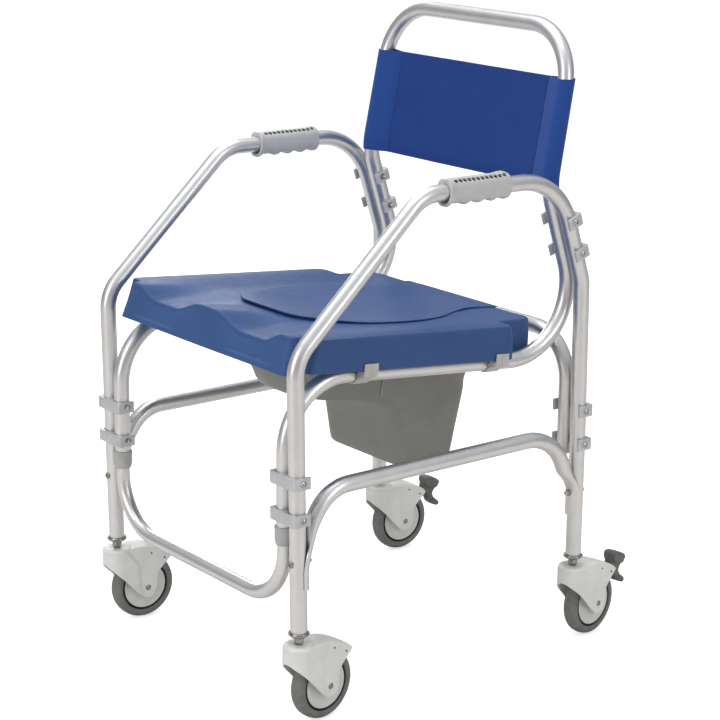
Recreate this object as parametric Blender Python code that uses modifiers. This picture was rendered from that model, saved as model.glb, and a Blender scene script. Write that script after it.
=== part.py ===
# Wheeled commode chair: bent aluminium tube frame on four swivel casters, moulded seat with
# lift-off lid, slide-out pan, fabric backrest sling and soft armrest grips.
# Metres, +Z up, the sitter faces -Y; "left" in a name is the -X side, "right" the +X side.
# Dimensions are measured from the middle of the wheelbase; the last step moves the origin to
# the middle of the floor outline.
import bpy
import bmesh
import math
from mathutils import Vector, Matrix

# ------------------------------------------------------------------ driving dimensions
SIDES = (("left", -1), ("right", 1))
GAP = 0.0004                # working gap between touching pieces

# tubes
TUBE_R = 0.0125             # main tube radius (25 mm tube)
U_TUBE_R = 0.0110           # lower front U tube radius (22 mm tube)
FRAME_X = 0.2513            # side frame plane
RAIL_X = 0.2213             # inner tube plane (seat rail, posts, rear cross tube)
AXLE_Y = 0.2740             # half wheelbase between leg centres
LEG_Z0 = 0.1433             # lower end of the legs
FRAME_STEP = 18             # degrees per bend segment, side frames, cross tube and U tube
RAIL_STEP = 15              # the same for the seat rail and posts

# common line of the rear slope and the posts: a point on it and its dy/dz
BACK_Y, BACK_Z, BACK_SLOPE = 0.2360, 0.6975, -0.3345


def on_back_line(z):
    """(y, z) on the common line at height z."""
    return (BACK_Y + BACK_SLOPE * (z - BACK_Z), z)


# side frame corners (y, z)
LEG_FRONT = (-AXLE_Y, LEG_Z0)
KNEE_FRONT = (-0.2823, 0.5570)
ARM_FRONT = (-0.0554, 0.7685)
ARM_REAR = on_back_line(0.7661)
KNEE_REAR = on_back_line(0.5983)
ANKLE_REAR = (0.2738, 0.3400)   # slight set in the rear leg
LEG_REAR = (AXLE_Y, LEG_Z0)
SIDE_PROFILE = [LEG_FRONT, KNEE_FRONT, ARM_FRONT, ARM_REAR, KNEE_REAR, ANKLE_REAR, LEG_REAR]
SIDE_RADII = [0.060, 0.070, 0.1085, 0.060, 0.0]

# seat rail, posts and hoop
RAIL_Y = -0.2782            # front drop of the seat rail tube
RAIL_END_Z = 0.3000         # lower end of the drop
RAIL_FRONT_Z = 0.5227       # virtual corner height, front
RAIL_REAR = on_back_line(0.4674)    # virtual rear corner
RAIL_SLOPE = (RAIL_REAR[1] - RAIL_FRONT_Z) / (RAIL_REAR[0] - RAIL_Y)
RAIL_ANGLE = math.atan(RAIL_SLOPE)
POST_KINK = on_back_line(0.7450)
POST_TOP = (0.2664, 0.9848)
POST_TOP_X = 0.2170         # posts draw in slightly at the hoop
RAIL_RADII = [0.100, 0.107, 0.100, 0.092, 0.092, 0.100, 0.107, 0.100]

# rear cross tube and lower front U
CROSS_Z = 0.5045            # bar height
CROSS_END_Z = 0.3120        # lower ends
CROSS_BEND_R = 0.075
U_BAR_Z = 0.1780
U_BEND_R = 0.088
U_INSET = 0.0006            # U tube ends sit this far in from, and below, the rail drops
SLEEVE_Z = (0.2750, 0.3030)

# clamps
CLAMP_LENGTH = 0.0180       # along the tubes
CLAMP_END = 0.0043          # flange thickness outside the tubes
CLAMP_WEB = 0.0035          # web thickness
CLAMP_TAGS = ("upper", "lower")
FRONT_CLAMP_Z = (0.3780, 0.3225)
REAR_CLAMP_Z = (0.3895, 0.3345)
POST_CLAMP_Z = (0.6975, 0.6465)

# side stretchers and their bolts
STRETCH_Z = 0.3570          # bar height
STRETCH_END_Z = 0.2140
STRETCH_FRONT_R, STRETCH_REAR_R = 0.065, 0.085
STRETCH_OFFSET = 2 * TUBE_R + GAP   # leg centre to stretcher end centre
CUP_R = 0.0178              # outside radius of the cupped end, about the leg centre
CUP_SWEEP = 84              # degrees the cup reaches to either side
BOLT_Z = 0.2540
BOLT_BORE_R = 0.0034

# casters
WHEEL_R = 0.0545
TRAIL = 0.0450              # axle behind the swivel axis
HUB_R = 0.0400
TYRE_HW = 0.0122
TYRE_STEPS = 26
FORK_TOP = 0.1280
BARREL_R = 0.0237
BARREL_H = 0.060
FORK_HW = 0.0205
SWIVEL_DEG = {"front_left": 3.3, "front_right": -6.6, "rear_right": -8.4, "rear_left": 2.7}

# seat: front lip, wide side blocks and narrower rear block, seen from above
SEAT_HW = 0.2490
SEAT_FRONT_HW = 0.2150
SEAT_REAR_HW = 0.2030
SEAT_FRONT_Y, BLOCK_FRONT_Y, BLOCK_REAR_Y, SEAT_REAR_Y = -0.2800, -0.2555, 0.1380, 0.2210
SKIRT_Z, SKIRT_SLOPE = 0.5053, -0.0994      # skirt's lower edge: z at y=0, and slope
RIDGE_Z, RIDGE_SLOPE = 0.5565, -0.0900      # side ridge: z at y=0, and slope
SEAT_DISH = 0.0075          # how far the middle sits below the side ridges
FRONT_LEAN, LEAN_Z = 0.30, 0.528    # backward lean of the front faces, and its height of pivot
RAIL_SECANT = 1.0045        # vertical over square thickness on the sloping rail

# lid, and the rebate it lies in
LID_HW, LID_FRONT, LID_REAR, LID_ROUND = 0.1457, 0.1600, 0.1660, 0.688
LID_WAIST, LID_FLARE = 0.0991, 0.0120
LID_DEPTH = 0.0225          # rebate floor below the side ridge

# pan and its runners, seat clips
PAN_WALL = 0.0026
RUNNER_X = 0.1595
RUNNER_Y = 0.015
RUNNER_HALF_LENGTH = 0.165
RUNNER_SHEET = 0.0020
CLIP_Y = {"front": -0.1465, "rear": 0.1080}
CLIP_WIDTH = 0.0250
CLIP_SHEET = 0.0022

# backrest and armrests
SLING_Z = (0.7450, 0.9105)
SLING_ROWS = 4
GRIP_Y = {-1: (0.0035, 0.1238), 1: (-0.0172, 0.1031)}   # the two grips are not level in y
GRIP_ROWS, GRIP_POINTS = 10, 14

# ------------------------------------------------------------------ empty scene
for ob in list(bpy.data.objects):
    bpy.data.objects.remove(ob, do_unlink=True)
for blocks in (bpy.data.meshes, bpy.data.curves, bpy.data.materials):
    for block in list(blocks):
        blocks.remove(block)

PARTS = bpy.data.collections.new("commode_chair")
CUTTERS = bpy.data.collections.new("cutters")
bpy.context.scene.collection.children.link(PARTS)
bpy.context.scene.collection.children.link(CUTTERS)


# ------------------------------------------------------------------ materials
def material(name, colour, roughness, metallic=0.0):
    mat = bpy.data.materials.new(name)
    mat.use_nodes = True
    shader = mat.node_tree.nodes["Principled BSDF"]
    shader.inputs["Base Color"].default_value = (*colour, 1.0)
    shader.inputs["Roughness"].default_value = roughness
    shader.inputs["Metallic"].default_value = metallic
    mat.diffuse_color = (*colour, 1.0)
    return mat


ALU = material("satin_aluminium", colour=(0.78, 0.78, 0.77), roughness=0.32, metallic=1.0)
ALU_CAST = material("clamp_aluminium", colour=(0.62, 0.64, 0.67), roughness=0.45, metallic=1.0)
CHROME = material("bright_steel", colour=(0.72, 0.70, 0.68), roughness=0.18, metallic=1.0)
SEAT_BLUE = material("moulded_blue", colour=(0.075, 0.125, 0.28), roughness=0.45)
FABRIC_BLUE = material("woven_blue", colour=(0.020, 0.060, 0.25), roughness=0.85)
PAN_GREY = material("pan_grey", colour=(0.20, 0.20, 0.185), roughness=0.45)
CLIP_GREY = material("clip_grey", colour=(0.47, 0.46, 0.43), roughness=0.5)
GRIP_GREY = material("grip_grey", colour=(0.48, 0.48, 0.49), roughness=0.55)
SLEEVE_GREY = material("sleeve_grey", colour=(0.36, 0.37, 0.37), roughness=0.5)
HOUSING = material("caster_housing", colour=(0.68, 0.70, 0.66), roughness=0.4)
TYRE = material("tyre_grey", colour=(0.13, 0.13, 0.125), roughness=0.75)
PEDAL = material("pedal_grey", colour=(0.105, 0.105, 0.10), roughness=0.6)


# ------------------------------------------------------------------ small maths
def rot_x(angle):
    return Matrix.Rotation(angle, 4, "X")


def rot_y(angle):
    return Matrix.Rotation(angle, 4, "Y")


def rot_z(angle):
    return Matrix.Rotation(angle, 4, "Z")


def shift(x, y, z):
    return Matrix.Translation((x, y, z))


# local (x, y, z) of a flat outline to world axes
SIDE_PLANE = Matrix(((0, 0, 1, 0), (1, 0, 0, 0), (0, 1, 0, 0), (0, 0, 0, 1)))    # to (Y, Z, X)
FRONT_PLANE = Matrix(((1, 0, 0, 0), (0, 0, -1, 0), (0, 1, 0, 0), (0, 0, 0, 1)))  # to (X, Z, -Y)


def lerp(a, b, t):
    return a + (b - a) * t


def smoothstep(start, end, value):
    t = min(1.0, max(0.0, (value - start) / (end - start)))
    return t * t * (3 - 2 * t)


def signed_power(value, exponent):
    return math.copysign(abs(value) ** exponent, value)


def line_y(start, end, z):
    """y at height z on the line through two (y, z) points."""
    return start[0] + (end[0] - start[0]) * (z - start[1]) / (end[1] - start[1])


def leg_y(z, end):
    if end == "front":
        return line_y(LEG_FRONT, KNEE_FRONT, z)
    return line_y(LEG_REAR, ANKLE_REAR, z)


def rail_z(y):
    return RAIL_FRONT_Z + RAIL_SLOPE * (y - RAIL_Y)


def armrest_z(y):
    slope = (ARM_REAR[1] - ARM_FRONT[1]) / (ARM_REAR[0] - ARM_FRONT[0])
    return ARM_FRONT[1] + slope * (y - ARM_FRONT[0])


def arc(centre_x, centre_y, radius, start, end, steps):
    """steps + 1 points on a circle between two angles in degrees."""
    angles = [math.radians(lerp(start, end, k / steps)) for k in range(steps + 1)]
    return [(centre_x + radius * math.cos(a), centre_y + radius * math.sin(a)) for a in angles]


def mirrored(points):
    """Points mirrored in x, in reverse order."""
    return [(-x, y) for x, y in reversed(points)]


def fillet_path(points, radii, step_deg):
    """Polyline through points with every inner corner rounded by its radius."""
    points = [Vector(p) for p in points]
    path = [points[0]]
    for before, corner, after, radius in zip(points, points[1:], points[2:], radii):
        if radius <= 0:
            path.append(corner)
            continue
        back = (before - corner).normalized()
        ahead = (after - corner).normalized()
        half_angle = back.angle(ahead) / 2
        tangent = radius / math.tan(half_angle)
        centre = corner + (back + ahead).normalized() * (radius / math.sin(half_angle))
        spoke0 = corner + back * tangent - centre
        spoke1 = corner + ahead * tangent - centre
        turn = math.pi - 2 * half_angle
        steps = max(2, int(math.ceil(math.degrees(turn) / step_deg)))
        for k in range(steps + 1):
            t = k / steps
            blend = math.sin((1 - t) * turn) * spoke0 + math.sin(t * turn) * spoke1
            path.append(centre + blend / math.sin(turn))
    path.append(points[-1])
    return path


# ------------------------------------------------------------------ object builders
def link(ob, mat, collection=PARTS):
    collection.objects.link(ob)
    if mat is not None:
        ob.data.materials.clear()
        ob.data.materials.append(mat)


def as_cutter(ob):
    ob.hide_render = True
    ob.display_type = "WIRE"
    return ob


def smooth(ob):
    ob.data.shade_smooth()
    ob.data.set_sharp_from_angle(angle=math.radians(35))


def mesh_object(name, bm, mat, collection=PARTS):
    bmesh.ops.recalc_face_normals(bm, faces=bm.faces)
    mesh = bpy.data.meshes.new(name)
    bm.to_mesh(mesh)
    bm.free()
    ob = bpy.data.objects.new(name, mesh)
    link(ob, mat, collection)
    smooth(ob)
    return ob


def cutter_object(name, bm):
    return as_cutter(mesh_object(name, bm, None, CUTTERS))


def evaluated_mesh(ob):
    bpy.context.view_layer.update()
    depsgraph = bpy.context.evaluated_depsgraph_get()
    return bpy.data.meshes.new_from_object(ob.evaluated_get(depsgraph))


def apply_modifiers(ob):
    mesh = evaluated_mesh(ob)
    ob.modifiers.clear()
    old = ob.data
    ob.data = mesh
    bpy.data.meshes.remove(old)
    smooth(ob)


def boolean(ob, cutter, operation="DIFFERENCE"):
    modifier = ob.modifiers.new(operation.lower(), "BOOLEAN")
    modifier.operation = operation
    modifier.solver = "EXACT"
    modifier.object = cutter
    apply_modifiers(ob)


def to_mesh(ob, mat, collection=PARTS):
    """Replace a curve object by a welded mesh object in the same place."""
    name = ob.name
    mesh = evaluated_mesh(ob)
    place = ob.matrix_world.copy()
    bpy.data.objects.remove(ob, do_unlink=True)
    bm = bmesh.new()
    bm.from_mesh(mesh)
    bmesh.ops.remove_doubles(bm, verts=bm.verts, dist=0.00005)
    bm.normal_update()
    bm.to_mesh(mesh)
    bm.free()
    new = bpy.data.objects.new(name, mesh)
    link(new, mat, collection)
    new.matrix_world = place
    smooth(new)
    return new


def add_polyline(curve, points):
    spline = curve.splines.new("POLY")
    spline.points.add(len(points) - 1)
    for target, (x, y, z) in zip(spline.points, points):
        target.co = (x, y, z, 1.0)
    return spline


def tube_curve(name, path, radius, mat, collection=PARTS):
    curve = bpy.data.curves.new(name, "CURVE")
    curve.dimensions = "3D"
    curve.bevel_depth = radius
    curve.bevel_resolution = 4
    curve.use_fill_caps = True
    add_polyline(curve, path)
    ob = bpy.data.objects.new(name, curve)
    link(ob, mat, collection)
    return ob


def tube_cutter(name, path, radius, mat):
    return as_cutter(to_mesh(tube_curve(name, path, radius, None, CUTTERS), mat, CUTTERS))


def flat_part(name, outline, half, matrix, mat, collection=PARTS):
    """Filled outline extruded by half each way along local Z, placed by matrix."""
    curve = bpy.data.curves.new(name, "CURVE")
    curve.dimensions = "2D"
    curve.fill_mode = "BOTH"
    curve.extrude = half
    add_polyline(curve, [(x, y, 0.0) for x, y in outline]).use_cyclic_u = True
    ob = bpy.data.objects.new(name, curve)
    link(ob, mat, collection)
    ob.matrix_world = matrix
    return to_mesh(ob, mat, collection)


def cutter_cylinder(name, radius, depth, matrix, segments):
    bm = bmesh.new()
    bmesh.ops.create_cone(bm, cap_ends=True, segments=segments, radius1=radius,
                          radius2=radius, depth=depth)
    bmesh.ops.transform(bm, matrix=matrix, verts=bm.verts)
    return cutter_object(name, bm)


def cutter_box(name, size, matrix):
    bm = bmesh.new()
    bmesh.ops.create_cube(bm, size=1.0)
    bmesh.ops.transform(bm, matrix=matrix @ Matrix.Diagonal((*size, 1.0)), verts=bm.verts)
    return cutter_object(name, bm)


def triangulate_caps(bm):
    bmesh.ops.triangulate(bm, faces=[f for f in bm.faces if len(f.verts) > 4])


def level(z):
    """Flat end for cutter_prism."""
    return lambda y: z


def cutter_prism(name, outline, z_low, z_high, lean=0.0):
    """Vertical prism whose lower and upper faces follow z_low(y) and z_high(y).

    lean tips the front walls back by that much per unit height, about height LEAN_Z.
    """
    def place(x, y, z):
        return (x, y + (lean * (z - LEAN_Z) if y < -0.20 else 0.0), z)
    bm = bmesh.new()
    low = [bm.verts.new(place(x, y, z_low(y))) for x, y in outline]
    high = [bm.verts.new(place(x, y, z_high(y))) for x, y in outline]
    count = len(outline)
    for i in range(count):
        j = (i + 1) % count
        bm.faces.new((low[i], low[j], high[j], high[i]))
    bm.faces.new(low[::-1])
    bm.faces.new(high)
    triangulate_caps(bm)
    return cutter_object(name, bm)


def turned(name, profile, mat, steps, closed=False):
    """Turned body about local Z; profile is (r, z). closed joins its last point to its first."""
    mesh = bpy.data.meshes.new(name)
    bm = bmesh.new()
    verts = [bm.verts.new((r, 0.0, z)) for r, z in profile]
    for a, b in zip(verts[:-1], verts[1:]):
        bm.edges.new((a, b))
    if closed:
        bm.edges.new((verts[-1], verts[0]))
    bm.to_mesh(mesh)
    bm.free()
    ob = bpy.data.objects.new(name, mesh)
    link(ob, mat)
    screw = ob.modifiers.new("turn", "SCREW")
    screw.axis = "Z"
    screw.angle = 2 * math.pi
    screw.steps = steps
    screw.render_steps = steps
    screw.use_merge_vertices = True
    screw.merge_threshold = 0.00002
    apply_modifiers(ob)
    return ob


def loft(name, rings, mat, wrap=False):
    """Loft through rings of equal point counts; ends are filled, or joined if wrap is set."""
    bm = bmesh.new()
    rings = [[bm.verts.new(p) for p in ring] for ring in rings]
    count = len(rings[0])
    pairs = list(zip(rings[:-1], rings[1:]))
    if wrap:
        pairs.append((rings[-1], rings[0]))
    for a, b in pairs:
        for i in range(count):
            j = (i + 1) % count
            bm.faces.new((a[i], a[j], b[j], b[i]))
    if not wrap:
        bm.faces.new(rings[0][::-1])
        bm.faces.new(rings[-1])
        triangulate_caps(bm)
    return mesh_object(name, bm, mat)


# ------------------------------------------------------------------ tube frame
def bolt_bore(name, x, y, depth):
    matrix = shift(x, y, BOLT_Z) @ rot_x(math.pi / 2)
    return cutter_cylinder(name, BOLT_BORE_R, depth, matrix, segments=8)


def side_frame(side, sign):
    """Leg, armrest and leg in one tube, bored for the stretcher bolts."""
    x = sign * FRAME_X
    path = fillet_path([(x, y, z) for y, z in SIDE_PROFILE], SIDE_RADII, FRAME_STEP)
    ob = to_mesh(tube_curve("side_frame_" + side, path, TUBE_R, ALU), ALU)
    for end in ("front", "rear"):
        boolean(ob, bolt_bore("bore_%s_%s" % (side, end), x, leg_y(BOLT_Z, end), 0.06))


def rail_points():
    """Corners of the rail tube from the left drop over the hoop to the right drop."""
    def half(sign):
        x = sign * RAIL_X
        return [(x, RAIL_Y, RAIL_END_Z), (x, RAIL_Y, RAIL_FRONT_Z), (x, *RAIL_REAR),
                (x, *POST_KINK), (sign * POST_TOP_X, *POST_TOP)]
    return half(-1) + half(1)[::-1]


def rail_path():
    return fillet_path(rail_points(), RAIL_RADII, RAIL_STEP)


def backrest_rail():
    """Seat rail, posts and top hoop in one tube."""
    tube_curve("backrest_rail_tube", rail_path(), TUBE_R, ALU)


def u_tube(name, x, y, end_z, bar_z, bend_radius, radius):
    """Cross bar at bar_z with both ends turned to end_z."""
    points = [(-x, y, end_z), (-x, y, bar_z), (x, y, bar_z), (x, y, end_z)]
    tube_curve(name, fillet_path(points, [bend_radius] * 2, FRAME_STEP), radius, ALU)


def rear_cross():
    u_tube("rear_cross_tube", RAIL_X, AXLE_Y, CROSS_END_Z, CROSS_Z, CROSS_BEND_R, TUBE_R)


def front_u():
    u_tube("front_u_tube", RAIL_X - U_INSET, RAIL_Y, RAIL_END_Z - U_INSET, U_BAR_Z,
           U_BEND_R, U_TUBE_R)


def sleeve(side, sign):
    """Stepped sleeve where the rail drop meets the thinner U tube."""
    low, high = SLEEVE_Z
    step = RAIL_END_Z - 0.0003
    profile = [(0.0130, high), (0.0153, high), (0.0153, low + 0.009), (0.0132, low),
               (0.0118, low), (0.0118, step), (0.0130, step)]
    ob = turned("reducer_sleeve_" + side, profile, SLEEVE_GREY, steps=16, closed=True)
    ob.location = (sign * RAIL_X, RAIL_Y, 0)


# ------------------------------------------------------------------ side stretchers
def stretcher_section(centre, outward, cup):
    """Ring of 12 points: round tube (cup=0) turning into a crescent that hugs the leg (cup=1).

    outward points from the tube centre to the leg, or to the outside of the bend.
    """
    half = 6
    ring = []
    for k in range(2 * half):
        phi = 2 * math.pi * (k + 0.5) / (2 * half)
        if k < half:        # side away from the leg
            sweep = lerp(CUP_SWEEP, -CUP_SWEEP, k / (half - 1))
            radius = CUP_R
        else:
            sweep = lerp(-CUP_SWEEP, CUP_SWEEP, (k - half) / (half - 1))
            radius = TUBE_R + 0.0010
        sweep = math.radians(sweep)
        x = lerp(TUBE_R * math.cos(phi), radius * math.sin(sweep), cup)
        y = lerp(TUBE_R * math.sin(phi), radius * math.cos(sweep) - STRETCH_OFFSET, cup)
        ring.append(centre + Vector((1, 0, 0)) * x - outward * y)
    return ring


def stretcher(side, sign):
    """Arched tube between the legs, its cupped ends bored for the bolts."""
    x = sign * FRAME_X
    front_y = leg_y(STRETCH_Z - STRETCH_FRONT_R, "front") + STRETCH_OFFSET
    rear_y = leg_y(STRETCH_Z - STRETCH_REAR_R, "rear") - STRETCH_OFFSET

    def drop(end, outward_y, heights, cup_z, round_z):
        """Rings along a leg, cupped at cup_z and below, round at round_z and above."""
        rings = []
        for z in heights:
            centre = Vector((x, leg_y(z, end) - outward_y * STRETCH_OFFSET, z))
            cup = 1 - smoothstep(cup_z, round_z, z)
            rings.append(stretcher_section(centre, Vector((0, outward_y, 0)), cup))
        return rings

    def bend(centre_y, radius, start, end, steps):
        """Rings round a bend; angles in degrees from +Y towards +Z."""
        centre = Vector((x, centre_y, STRETCH_Z - radius))
        rings = []
        for y, z in arc(0, 0, 1, start, end, steps):
            outward = Vector((0, y, z))
            rings.append(stretcher_section(centre + outward * radius, outward, 0.0))
        return rings

    rings = drop("front", -1, [STRETCH_END_Z, 0.258, 0.266, 0.275, 0.284], 0.258, 0.300)
    rings += bend(front_y + STRETCH_FRONT_R, STRETCH_FRONT_R, 180, 90, 5)
    rings += bend(rear_y - STRETCH_REAR_R, STRETCH_REAR_R, 90, 0, 6)
    rings += drop("rear", 1, [0.267, 0.262, STRETCH_END_Z + 0.002], 0.262, 0.272)
    ob = loft("side_stretcher_" + side, rings, ALU)
    for end, y in (("front", front_y), ("rear", rear_y)):
        boolean(ob, bolt_bore("stretcher_bore_%s_%s" % (side, end), x, y, 0.05))


def stretcher_bolt(side, sign, end):
    """Domed screw through the leg and the cupped stretcher end, with an acorn nut inside."""
    head = TUBE_R + GAP
    nut = -(CUP_R + GAP + (0.0004 if end == "front" else 0.0))
    profile = [(0.0, head + 0.0036), (0.0036, head + 0.0028), (0.0052, head), (0.0030, head),
               (0.0030, nut), (0.0055, nut), (0.0050, nut - 0.0050), (0.0, nut - 0.0088)]
    ob = turned("stretcher_bolt_%s_%s" % (end, side), profile, CHROME, steps=10)
    turn = math.pi / 2 if end == "front" else -math.pi / 2
    ob.matrix_world = shift(sign * FRAME_X, leg_y(BOLT_Z, end), BOLT_Z) @ rot_x(turn)


# ------------------------------------------------------------------ clamps that pair two tubes
def clamp_outline():
    """C-section in local (x, y): web on -y, flanges past the tubes, saddles for both tubes."""
    centre = (FRAME_X - RAIL_X) / 2         # tube centres at +-centre
    saddle = TUBE_R + 0.0006
    end = centre + TUBE_R + CLAMP_END
    web = -(TUBE_R + CLAMP_WEB)
    top = TUBE_R + 0.0010
    corner, tip = 0.0040, 0.0012            # rounding at the web and at the flange tips
    points = arc(end - corner, web + corner, corner, 270, 360, 2)
    points += arc(end - tip, top - tip, tip, 0, 90, 1)
    points.append((centre + saddle, top))
    points += arc(centre, 0, saddle, 0, -160, 6)
    points += arc(-centre, 0, saddle, -20, -180, 6)
    points.append((-centre - saddle, top))
    points += arc(-end + tip, top - tip, tip, 90, 180, 1)
    points += arc(-end + corner, web + corner, corner, 180, 270, 2)
    return points


def clamp(name, sign, y, z, lean, web_to):
    """lean: tube axis tilt about X (radians); web_to: -1 web on the -Y side, +1 on the +Y side."""
    turn = Matrix.Identity(4) if web_to < 0 else rot_z(math.pi)
    matrix = shift(sign * (FRAME_X + RAIL_X) / 2, y, z) @ rot_x(lean) @ turn
    flat_part(name, clamp_outline(), CLAMP_LENGTH / 2, matrix, ALU_CAST)


def clamps(side, sign):
    # the front clamps split the angle between the upright drop and the leg
    front_lean = 0.5 * math.atan(-(KNEE_FRONT[0] + AXLE_Y) / (KNEE_FRONT[1] - LEG_Z0))
    for tag, z in zip(CLAMP_TAGS, FRONT_CLAMP_Z):
        y = min(RAIL_Y, leg_y(z, "front")) - 0.0001
        clamp("front_clamp_%s_%s" % (tag, side), sign, y, z, front_lean, -1)
    for tag, z in zip(CLAMP_TAGS, REAR_CLAMP_Z):
        clamp("rear_clamp_%s_%s" % (tag, side), sign, AXLE_Y + 0.0001, z, 0.0, 1)
    for tag, z in zip(CLAMP_TAGS, POST_CLAMP_Z):
        y = line_y(ARM_REAR, KNEE_REAR, z)
        clamp("post_clamp_%s_%s" % (tag, side), sign, y, z, -math.atan(BACK_SLOPE), 1)


# ------------------------------------------------------------------ casters
# Side outlines in (aft of the swivel axis, height).
FORK_HOOD = [
    (-0.006, FORK_TOP), (0.026, FORK_TOP), (0.045, 0.1262), (0.063, 0.1210), (0.078, 0.1130),
    (0.0875, 0.1065), (0.0890, 0.1025), (0.0830, 0.0965), (0.0760, 0.0905), (0.0690, 0.0830),
    (0.0632, 0.0755), (0.0610, 0.0660),
]
FORK_FRONT = [(0.0215, 0.0550), (-0.006, 0.0825)]
PEDAL_LOWER = [
    (0.0742, 0.1016), (0.0765, 0.1008), (0.0860, 0.0995), (0.0980, 0.0975), (0.1030, 0.0900),
    (0.1050, 0.0830), (0.1100, 0.0735), (0.1240, 0.0665), (0.1290, 0.0680), (0.1280, 0.0740),
    (0.1195, 0.0810), (0.1150, 0.0880), (0.1160, 0.0930),
]
PEDAL_PAD = [
    (0.1230, 0.1010), (0.1285, 0.1090), (0.1255, 0.1150), (0.1130, 0.1215), (0.1010, 0.1245),
    (0.0970, 0.1220), (0.0965, 0.1120),
]
PEDAL_ARM_TOP = [(0.0950, 0.1036), (0.0765, 0.1040), (0.0742, 0.1032)]
PAD_INNER_CORNER = (0.1000, 0.1060)
PEDAL_PIN = (0.0765, 0.1022)


def fork_outline():
    """Hood, rounded end about the axle, and front edge."""
    eye = []
    for k in range(7):
        a = math.radians(lerp(15, -135, k / 6))
        eye.append((TRAIL + 0.0170 * math.cos(a), WHEEL_R + 0.0168 * math.sin(a)))
    return FORK_HOOD + eye + FORK_FRONT


def caster_stem(key, x, y):
    """Collar cup under the leg end, with the hex nut below it."""
    top = LEG_Z0 - GAP
    profile = [(0.0, top), (0.0130, top), (0.0130, LEG_Z0 + 0.0030),
               (0.0160, LEG_Z0 + 0.0018), (0.0160, LEG_Z0 - 0.0014),
               (0.0125, LEG_Z0 - 0.0040), (0.0062, LEG_Z0 - 0.0040),
               (0.0062, 0.1300), (0.0, 0.1300)]
    ob = turned("caster_stem_" + key, profile, CHROME, steps=14)
    nut = cutter_cylinder("nut_" + key, 0.0084, 0.0090, shift(0, 0, 0.1338), segments=6)
    boolean(ob, nut, "UNION")
    ob.location = (x, y, 0)


def caster_fork(key, pivot, hub_axis, slotted):
    """Hooded fork joined to the upright front barrel, with wheel well and axle bore cut.

    It is cut at the world origin, where the cutters are, and parented afterwards.
    """
    ob = flat_part("caster_fork_" + key, fork_outline(), FORK_HW, SIDE_PLANE, HOUSING)
    barrel = cutter_cylinder("barrel_" + key, BARREL_R, BARREL_H,
                             shift(0, 0, FORK_TOP - BARREL_H / 2), segments=18)
    trim = cutter_box("trim_" + key, (0.08, 0.12, 0.06),
                      shift(0, 0, 0.0765) @ rot_x(-math.pi / 4) @ shift(0, 0, -0.03))
    boolean(barrel, trim)
    boolean(ob, barrel, "UNION")
    boolean(ob, cutter_cylinder("well_" + key, WHEEL_R + 0.0022, 2 * TYRE_HW + 0.0030,
                                hub_axis, segments=26))
    boolean(ob, cutter_cylinder("axle_bore_" + key, 0.0044, 0.07, hub_axis, segments=10))
    if slotted:             # opening in the hood for the pedal
        boolean(ob, cutter_box("slot_" + key, (0.0176, 0.034, 0.0215), shift(0, 0.0840, 0.0935)))
    ob.parent = pivot


def caster_wheel(key, pivot, hub_axis):
    """Axle, hub and tyre."""
    axle_profile = [(0.0, 0.0228), (0.0052, 0.0218), (0.0052, 0.0209), (0.0038, 0.0209),
                    (0.0038, -0.0209), (0.0052, -0.0209), (0.0052, -0.0218), (0.0, -0.0228)]
    hub_profile = [(HUB_R, 0.0106), (HUB_R, -0.0106), (0.0044, -0.0120), (0.0044, 0.0120)]
    bore = HUB_R + 0.0005
    tread = WHEEL_R / math.cos(math.pi / TYRE_STEPS)
    tyre_profile = [(0.0490, TYRE_HW), (tread, 0.0050), (tread, -0.0050), (0.0490, -TYRE_HW),
                    (bore, -0.0100), (bore, 0.0100)]
    axle = turned("axle_" + key, axle_profile, CHROME, steps=10)
    hub = turned("wheel_hub_" + key, hub_profile, HOUSING, steps=26, closed=True)
    tyre = turned("tyre_" + key, tyre_profile, TYRE, steps=TYRE_STEPS, closed=True)
    # a flat of the tread sits on the floor
    tyre_axis = hub_axis @ rot_z(math.pi / TYRE_STEPS)
    for ob, matrix in ((axle, hub_axis), (hub, hub_axis), (tyre, tyre_axis)):
        ob.parent = pivot
        ob.matrix_local = matrix


def brake_pedal(key, pivot):
    """Pedal arm with a wider pad joined on; its origin is its pivot pin."""
    def from_pin(points):
        return [(aft - PEDAL_PIN[0], z - PEDAL_PIN[1]) for aft, z in points]
    ob = flat_part("brake_pedal_" + key, from_pin(PEDAL_LOWER + PEDAL_PAD + PEDAL_ARM_TOP),
                   0.0080, SIDE_PLANE, PEDAL)
    pad = flat_part("pad_" + key, from_pin(PEDAL_PAD + [PAD_INNER_CORNER]),
                    0.0115, SIDE_PLANE, PEDAL, CUTTERS)
    boolean(ob, as_cutter(pad), "UNION")
    ob.data.transform(ob.matrix_world)
    ob.matrix_world = Matrix.Identity(4)
    ob.parent = pivot
    ob.location = (0, *PEDAL_PIN)


def caster(key):
    end, side = key.split("_")
    x = FRAME_X if side == "right" else -FRAME_X
    y = AXLE_Y if end == "rear" else -AXLE_Y
    pivot = bpy.data.objects.new("caster_pivot_" + key, None)
    PARTS.objects.link(pivot)
    pivot.location = (x, y, 0)
    pivot.rotation_euler = (0, 0, -math.radians(SWIVEL_DEG[key]))
    hub_axis = shift(0, TRAIL, WHEEL_R) @ rot_y(math.pi / 2)
    caster_stem(key, x, y)
    caster_fork(key, pivot, hub_axis, slotted=end == "rear")
    caster_wheel(key, pivot, hub_axis)
    if end == "rear":
        brake_pedal(key, pivot)


# ------------------------------------------------------------------ seat and lid
# Grid of the moulded top before trimming: rows along Y, columns across one half in X.
BLANK_ROWS = [-0.300, -0.265, -0.240, -0.205, -0.165, -0.120, -0.060, 0.0, 0.080, 0.150,
              0.190, 0.240]
BLANK_COLUMNS = [0.0, 0.035, 0.070, 0.105, 0.145, 0.175, 0.205, 0.236, 0.262]


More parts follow.
